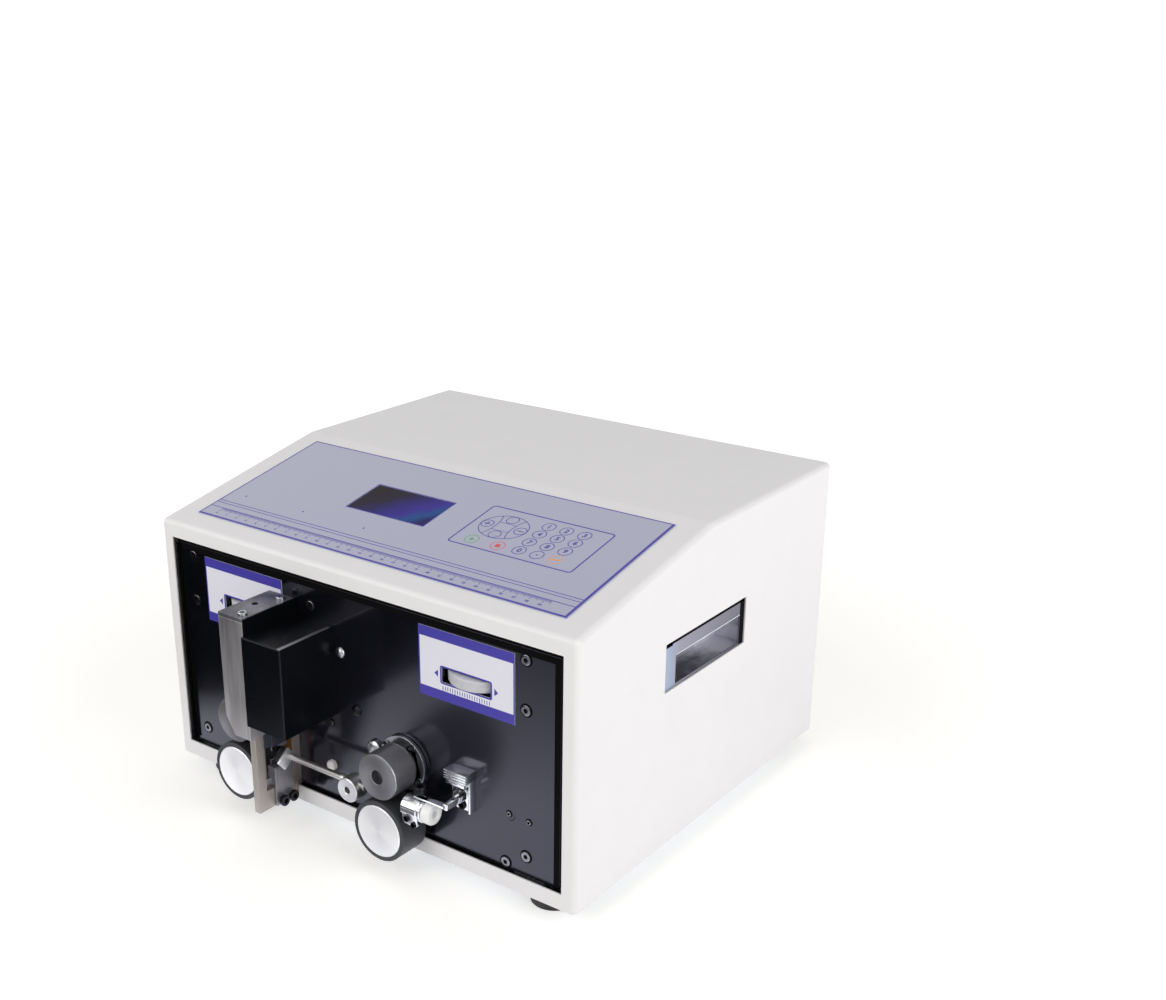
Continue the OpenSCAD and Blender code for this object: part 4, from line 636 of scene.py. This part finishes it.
# bent sheet cover, open to the left, the back and below, with a strip that rises behind to the column's head
cutterCover = {"low": (-56, -46, 78.5), "high": (-20, 4, 144.5), "radius": 1.1, "sheet": 1.2,
               "strip": ((-56, -44, 143.3), (-54.8, 4, 156.8))}
shape = bmesh.new()
addBox(shape, cutterCover["low"], cutterCover["high"])
corner = max(shape.verts, key=lambda v: v.co.x - v.co.y + v.co.z)  # where the three bent edges meet
bmesh.ops.bevel(shape, geom=list(corner.link_edges), offset=cutterCover["radius"], segments=4, affect="EDGES",
                profile=0.5, material=-1)
openFaces = [f for f in shape.faces if f.normal.z < -0.9 or f.normal.y > 0.9 or f.normal.x < -0.9]
bmesh.ops.delete(shape, geom=openFaces, context="FACES")
bmesh.ops.recalc_face_normals(shape, faces=shape.faces)
bmesh.ops.solidify(shape, geom=shape.faces[:], thickness=cutterCover["sheet"])
addBox(shape, *cutterCover["strip"])
makePiece("blackCover", shape, "black_cover", replaced=("cutter_cover",), flat=True)

holderScrews = {"x": -53.9, "ys": (-19.5, -10.5), "z": 9.9, "radius": 4.1, "height": 2.7}
shape = bmesh.new()
for y in holderScrews["ys"]:
    place = Matrix.Translation((holderScrews["x"], y, holderScrews["z"])) @ sideways
    addSocketScrew(shape, place, holderScrews["radius"], holderScrews["height"])
makePiece("lowerHolderScrews", shape, "black_screw", "lower_cutter", ("holder_screws",))
# painted highlight: a thin bright strip laid along the cover's top bend
coverBend = {"low": (-23.4, -45.4, 144.1), "high": (-20.5, 2, 144.62)}
makePiece("coverBend", addBox(bmesh.new(), coverBend["low"], coverBend["high"]), "painted_highlight_edge",
          bevel=(0.2, 2))
print("cutter head done")

# Rollers: profiles of (radius, depth in front of the plate's plane)
rollers = {"right": 42, "left": -95, "lowZ": 21.5, "upZ": 62.1,
           # painted light: the two discs are one metal, and the left one is given lighter tones
           "discTones": {"right": ("#e6e6ea", "#ffffff"), "left": ("#f4f4f6", "#ffffff")},
           "disc": [(0, 25), (18.2, 25), (18.8, 24.5), (19, 24.2), (19, 1.2), (6, 1.2), (6, 0), (5, 0), (5, -52),
                    (4.4, -52.6), (0, -52.6)],
           "pulley": [(5, -43), (16, -43), (16, -52), (5, -52)],
           "tyre": [(19, 24.6), (19.4, 24.8), (21.3, 24.8), (22, 24.1), (22, 1.8), (21.3, 1), (19, 1)],
           "upper": [(5, 18.5), (5, 24), (5.5, 24.5), (15.6, 24.5), (16.2, 24.1), (16.2, 3.5), (13, 3.3),
                     (13, -0.5), (5, -0.5), (5, -40), (0, -40)],
           "bore": [(0, 18.5), (5, 18.5)], "screwCircle": 17, "bands": (20.5, 16.5, 9), "bandWidth": 0.9}
knurl = {"rows": 26, "around": 132, "radius": 16.35, "edge": 16.1, "rise": 0.22, "near": 3.9, "length": 19.6}
size = rollers
for side in ("right", "left"):
    x, end = size[side], side.capitalize()
    low, up = facing(x, 0, size["lowZ"]), facing(x, 0, size["upZ"])
    disc = turnedMetal("spunAluminium" + end, (x, -25, size["lowZ"]), size["discTones"][side],
                       {"Roughness": 0.38, "Anisotropic": 0.7, "Metallic": 0.45}, 0.5, 0.004, 0.35)
    shape = bmesh.new()
    addTurned(shape, size["disc"], low, 96)
    addTurned(shape, size["pulley"], low, 96, True)
    makePiece("lowerDisc" + end, shape, disc, "feed_" + side, ("lower_roller_" + side,))
    makePiece("tyre" + end, addTurned(bmesh.new(), size["tyre"], low, 128, True), "roller_rubber",
              body="feed_" + side, replaced=("lower_tyre_" + side,))

    face = turnedMetal("turnedFaceSteel" + end, (x, -24, size["upZ"]), ("#5c5c60", "#8b8b8f"),
                       {"Metallic": 0.75, "Roughness": 0.44, "Anisotropic": 0.4}, 0.6, 0.01, 0.2)
    shape = bmesh.new()
    addTurned(shape, size["upper"], up, 96)
    addTurned(shape, size["bore"], up, 96)
    makePiece("upperRoller" + end, shape, face, "idler_" + side, ("upper_roller_" + side,))
    shape = bmesh.new()
    rows, around, near, length = (knurl[key] for key in ("rows", "around", "near", "length"))
    profile = [(knurl["radius"], near + length * (1 - i / rows)) for i in range(rows + 1)]
    addTurned(shape, [(knurl["edge"], near + length + 0.4), *profile, (knurl["edge"], near - 0.3)], up, around)
    for v in shape.verts:
        out = Vector((v.co.x - x, 0, v.co.z - size["upZ"]))
        if out.length > knurl["edge"] + 0.1:  # raises every other crossing into a diamond
            column = round(atan2(out.z, out.x) / (2 * pi) * around)
            row = round((-v.co.y - near) / length * rows)
            if (column + row) % 2:
                v.co += out.normalized() * knurl["rise"]
    bmesh.ops.solidify(shape, geom=shape.faces[:], thickness=0.3)
    makePiece("knurl" + end, shape, "knurled_steel", "idler_" + side, sharp=70)
    softened("gap_arm_" + side, "gapArm" + end, 0.25, 1)
    shape = bmesh.new()
    for degree in (33, 123, 213, 303):
        across, fall = size["screwCircle"] * cos(radians(degree)), size["screwCircle"] * sin(radians(degree))
        addSocketScrew(shape, facing(x + across, 1.2, size["upZ"] - fall), 2.45, 2.9, 0.55)
    makePiece("flangeScrews" + end, shape, "black_screw", "arm_" + side)
shape = bmesh.new()
for near in size["bands"]:
    far, place = near + size["bandWidth"], facing(size["left"], 0, size["upZ"])
    addTurned(shape, [(16, near), (16.59, near), (16.59, far), (16, far)], place, 72, True)
makePiece("rollerBands", shape, "black_screw", "idler_left")
print("rollers done")

# Wire line: hub, tube and nose, which swing, with profiles of (radius, place along the wire)
wire = {"y": -15, "z": 44.55, "hub": (10.5, 0, 40.05),
        "hubProfile": [(2.5, 17.5), (2.5, 20.4), (3.1, 21), (8.1, 21), (8.9, 20.2), (8.9, 9.8), (8.1, 9), (3, 9),
                       (3, 16.9), (2.5, 17.5)],
        "tube": [(1.2, -49), (1.2, 1), (1.2, 23.9), (3, 23.9), (3.4, 23.7), (3.2, 22.6), (2.3, 19.4), (2.3, 4.2),
                 (2.8, 2.2), (2.8, 0.6), (2.3, -1.4), (2.3, -48.6), (2.1, -49)],
        "nose": ((-56.2, -5.6, -4.2), (-50.6, 5.6, 4.2)), "plate": ((-50.5, -7.4, -5), (-48.6, 6, 4.8)), "noseTurn": 40}
along = Matrix.Translation((0, wire["y"], wire["z"])) @ sideways
hub = turnedMetal("satinTurnedHub", (wire["hub"][0], -21, wire["hub"][2]), ("#bfbfc0", "#dededf"),
                  {"Roughness": 0.36, "Anisotropic": 0.5, "Metallic": 0.9}, 0.7)
makePiece("conduitHub", addTurned(bmesh.new(), wire["hubProfile"], facing(*wire["hub"]), 72), hub,
          "conduit", ("conduit_hub",))
makePiece("conduitTube", addTurned(bmesh.new(), wire["tube"], along, 40, True), "polished_steel", body="conduit",
          replaced=("conduit_tube",))
place = Matrix.Translation((0, wire["y"] - 3.2, wire["z"])) @ Matrix.Rotation(radians(wire["noseTurn"]), 4, "X")
makePiece("conduitNose", addBox(bmesh.new(), *wire["nose"]), "black_plastic", body="conduit",
          replaced=("conduit_nose",), place=place, bevel=(0.5, 2))
makePiece("nosePlate", addBox(bmesh.new(), *wire["plate"]), "hub_steel", "conduit", place=place,
          bevel=(0.3, 2))

# Wire inlet: bracket, ribbed cap, tapered arm, guide with its foot, bush and screws
inlet = {"bracket": (((86, 1, 45), (101.3, 4, 68)), ((101.3, -2, 45), (103, 4, 69)), ((86, -6, 65), (101.3, 1, 68))),
         "cap": ((85, -7, 68), (103.5, 3.9, 75.5)), "ribs": 4, "arm": ((92.6, -18.5, 53.2), (98, 1, 58.4)),
         "armFoot": ((68, -18.2, 53.2), (94.6, -12.5, 54.8)), "taper": (0.8, 0.9),
         "guide": [(4.6, 60), (7.2, 60), (8, 60.8), (8, 73), (7.4, 73.6), (7.4, 74.4), (8, 75), (8, 75.9),
                   (7.4, 76.5), (4.6, 76.5)],
         "foot": ((61, -22.6, 33.75), (73.6, -15.4, 43.55)),
         "bush": [(2.2, 60), (4.5, 60), (4.5, 76.5), (6.6, 76.5), (7.6, 77.5), (7.6, 82.8), (6.9, 84), (5.6, 84.5),
                  (3.2, 84.5), (2.4, 83.9), (2.2, 83.2)],
         "screws": ((66, -22.5, 39.05, 2.3, 1.2), (72, -22.5, 36.25, 2.3, 1.2), (94.6, 1.1, 48.6, 3, 2),
                    (94.4, 1.1, 61.6, 2.3, 2)), "topScrew": (71.5, -15, 57.15)}
size = inlet
shape = bmesh.new()
for low, high in size["bracket"]:
    addBox(shape, low, high)
makePiece("inletBracket", shape, "chrome_plate", replaced=("inlet_bracket",), bevel=(0.35, 2))
shape = bmesh.new()
(x0, y0, z0), (x1, y1, z1) = size["cap"]
addBox(shape, (x0 + 0.9, y0 + 0.9, z0), (x1 - 0.9, y1, z1 - 0.4))
pitch = (z1 - z0) / size["ribs"]
for i in range(size["ribs"]):
    addBox(shape, (x0, y0, z0 + pitch * (i + 0.4)), (x1, y1, z0 + pitch * (i + 1)))
makePiece("inletCap", shape, "chrome_plate", bevel=(0.25, 2))
shape = bmesh.new()
addBox(shape, *size["arm"])
for v in shape.verts:
    if v.co.y < -10:  # the arm's front end is narrower and lower
        v.co.z -= size["taper"][1] if v.co.z > 55 else 0
        v.co.x += size["taper"][0] if v.co.x < 94 else -size["taper"][0]
addBox(shape, *size["armFoot"])
makePiece("inletArm", shape, "chrome_plate", replaced=("inlet_arm",), bevel=(0.8, 3))
makePiece("inletGuide", addTurned(bmesh.new(), size["guide"], along, 64, True), "chrome_plate",
          replaced=("inlet_guide",))
makePiece("guideFoot", addBox(bmesh.new(), *size["foot"]), "chrome_plate", bevel=(1.6, 3))
makePiece("inletBush", addTurned(bmesh.new(), size["bush"], along, 64, True), "white_plastic",
          replaced=("inlet_bush",))
shape = bmesh.new()
for x, y, z, radius, height in size["screws"]:
    addSocketScrew(shape, facing(x, y, z), radius, height)
addSocketScrew(shape, Matrix.Translation(size["topScrew"]), 4.4, 4.6)
makePiece("guideScrews", shape, "black_screw")
print("wire line done")

# Thumbwheels with their screws, on upright axes
thumbwheels = {"right": 96.4, "left": -106, "y": 23.5, "z": 136.2,
               "profile": [(0, 10), (3.4, 10), (4, 9.6), (4, 4.2), (22.6, 4.2), (23.6, 3.8), (24, 3), (24, -3),
                           (23.6, -3.8), (22.6, -4.2), (4, -4.2), (4, -89.5), (3.4, -90), (0, -90)]}
for side in ("right", "left"):
    place = Matrix.Translation((thumbwheels[side], thumbwheels["y"], thumbwheels["z"]))
    makePiece("wheel" + side.capitalize(), addTurned(bmesh.new(), thumbwheels["profile"], place, 128), "white_wheel",
              body="wheel_" + side, replaced=("thumbwheel_" + side,))
print("thumbwheels done")

# Stage: a white floor. Glossy rays alone see it darker: a flag to the left, a slanting strip, an oval card in front
# and a tone that falls to the front, for the dark things that the enamel and the metal mirror
stage = {"white": "#f4f3f0", "mirrored": "#eeeef5", "glow": 0.42, "farFrom": (0.35, 1.3), "world": 0.46,
         "flagX": (-0.165, -0.145), "flagY": (-0.438, -0.368), "flagSlope": 0.76, "fadeY": (-0.46, -0.24),
         "fade": (0.42, 1.55), "strip": (-0.105, -0.08), "stripSlope": -1.45, "stripFront": (-0.23, -0.185),
         "stripLeft": (-0.175, -0.16), "card": (-0.03, -0.268), "cardTurn": 54.8, "cardHalf": (0.092, 0.04),
         "cardEdge": (0.8, 1.2), "cardDark": 0.85}
size = stage
ground = bmesh.new()
bmesh.ops.create_grid(ground, x_segments=1, y_segments=1, size=6)
mesh = bpy.data.meshes.new("floor")
ground.to_mesh(mesh)
ground.free()
floorPiece = bpy.data.objects.new("floor", mesh)
bpy.context.scene.collection.objects.link(floorPiece)
floorMaterial = bpy.data.materials.new("whiteFloor")
floorMaterial.use_nodes = True
tree = floorMaterial.node_tree
tree.nodes.clear()
path = addNode(tree, "LightPath")
place = addNode(tree, "TexCoord").outputs["Object"]
axes = addNode(tree, "SeparateXYZ", {}, {"Vector": place})
x, y = axes.outputs["X"], axes.outputs["Y"]
left = addNode(tree, "MapRange", {}, {"Value": x, "From": size["flagX"], "To": (1, 0)})
slant = addNode(tree, "Math", "MULTIPLY_ADD", {0: x, 1: size["flagSlope"], 2: y})
near = addNode(tree, "MapRange", {}, {"Value": slant, "From": size["flagY"], "To": (1, 0)})
flag = addNode(tree, "Math", "MULTIPLY", {0: left, 1: near})
slant = addNode(tree, "Math", "MULTIPLY_ADD", {0: x, 1: size["stripSlope"], 2: y})
side = addNode(tree, "MapRange", {}, {"Value": slant, "From": size["strip"]})
front = addNode(tree, "MapRange", {}, {"Value": y, "From": size["stripFront"], "To": (1, 0)})
end = addNode(tree, "MapRange", {}, {"Value": x, "From": size["stripLeft"]})
strip = addNode(tree, "Math", "MULTIPLY", {0: side, 1: front})
strip = addNode(tree, "Math", "MULTIPLY", {0: strip, 1: end})
flag = addNode(tree, "Math", "MAXIMUM", {0: flag, 1: strip})
card = addNode(tree, "Mapping", {"vector_type": "TEXTURE"},
               {"Vector": place, "Location": (*size["card"], 0), "Rotation": (0, 0, radians(size["cardTurn"])),
                "Scale": (*size["cardHalf"], 1)})
card = addNode(tree, "VectorMath", "LENGTH", {0: card})
card = addNode(tree, "MapRange", {}, {"Value": card, "From": size["cardEdge"], "To": (size["cardDark"], 0)})
flag = addNode(tree, "Math", "MAXIMUM", {0: flag, 1: card})
clear = addNode(tree, "Math", "SUBTRACT", {0: 1, 1: flag})
fade = addNode(tree, "MapRange", {}, {"Value": y, "From": size["fadeY"], "To": size["fade"]})
mirrored = addNode(tree, "Math", "MULTIPLY", {0: fade, 1: clear})
cool = addNode(tree, "VectorMath", "SCALE", {"Vector": linearColour(size["mirrored"])[:3], "Scale": mirrored})
tone = addNode(tree, "Mix", {"data_type": "RGBA"},
               {"Factor": path.outputs["Is Glossy Ray"], "A": size["white"], "B": cool})
away = addNode(tree, "VectorMath", "LENGTH", {0: place})
rise = addNode(tree, "MapRange", {}, {"Value": away, "From": size["farFrom"], "To": (size["glow"], 1)})
seen = addNode(tree, "Math", "MAXIMUM", {0: path.outputs["Is Camera Ray"], 1: path.outputs["Is Glossy Ray"]})
seen = addNode(tree, "Math", "MAXIMUM", {0: seen, 1: path.outputs["Is Transmission Ray"]})
glow = addNode(tree, "Math", "MULTIPLY", {0: seen, 1: rise})
diffuse = addNode(tree, "BsdfDiffuse", {}, {"Color": tone})
shine = addNode(tree, "Emission", {}, {"Color": tone, "Strength": glow})
both = addNode(tree, "AddShader", {}, {0: diffuse, 1: shine})
addNode(tree, "OutputMaterial", {}, {"Surface": both})
mesh.materials.append(floorMaterial)

world = bpy.data.worlds.new("studio")
bpy.context.scene.world = world
world.use_nodes = True
tree = world.node_tree
tree.nodes.clear()
path = addNode(tree, "LightPath")
seen = addNode(tree, "Math", "MAXIMUM", {0: path.outputs["Is Camera Ray"], 1: path.outputs["Is Glossy Ray"]})
seen = addNode(tree, "Math", "MAXIMUM", {0: seen, 1: path.outputs["Is Transmission Ray"]})
strength = addNode(tree, "MapRange", {}, {"Value": seen, "To": (size["world"], 1)})
back = addNode(tree, "Background", {}, {"Color": "#ffffff", "Strength": strength})
addNode(tree, "OutputWorld", {}, {"Surface": back})

lamps = {"front": ((-0.5, -1.5, 0.8), 1.2, 10.5), "right": ((1.7, -0.2, 0.7), 1.2, 13), "top": ((0, 0.1, 1.7), 1, 1)}
for name, (spot, width, power) in lamps.items():
    light = bpy.data.lights.new(name + "Lamp", "AREA")
    light.energy, light.size = power, width
    lamp = bpy.data.objects.new(name + "Lamp", light)
    lamp.location = spot
    lamp.rotation_euler = (Vector((0, 0, 0.1)) - Vector(spot)).to_track_quat("-Z", "Y").to_euler()
    bpy.context.scene.collection.objects.link(lamp)

view = {"place": (0.6338, -0.7874, 0.5494), "tilt": 68.7049, "turn": 37.2307, "roll": 0.06, "lens": 45.406,
        "shift": (0.05497, 0.06527)}
camera = bpy.data.cameras.new("camera")
camera.sensor_fit, camera.sensor_width, camera.lens = "HORIZONTAL", 36, view["lens"]
camera.shift_x, camera.shift_y = view["shift"]
cameraObject = bpy.data.objects.new("camera", camera)
cameraObject.location = view["place"]
cameraObject.rotation_euler = (radians(view["tilt"]), radians(view["roll"]), radians(view["turn"]))
bpy.context.scene.collection.objects.link(cameraObject)
bpy.context.scene.camera = cameraObject
bpy.context.scene.view_settings.view_transform = "Standard"
print("stage, lamps and camera set")

bpy.context.view_layer.update()
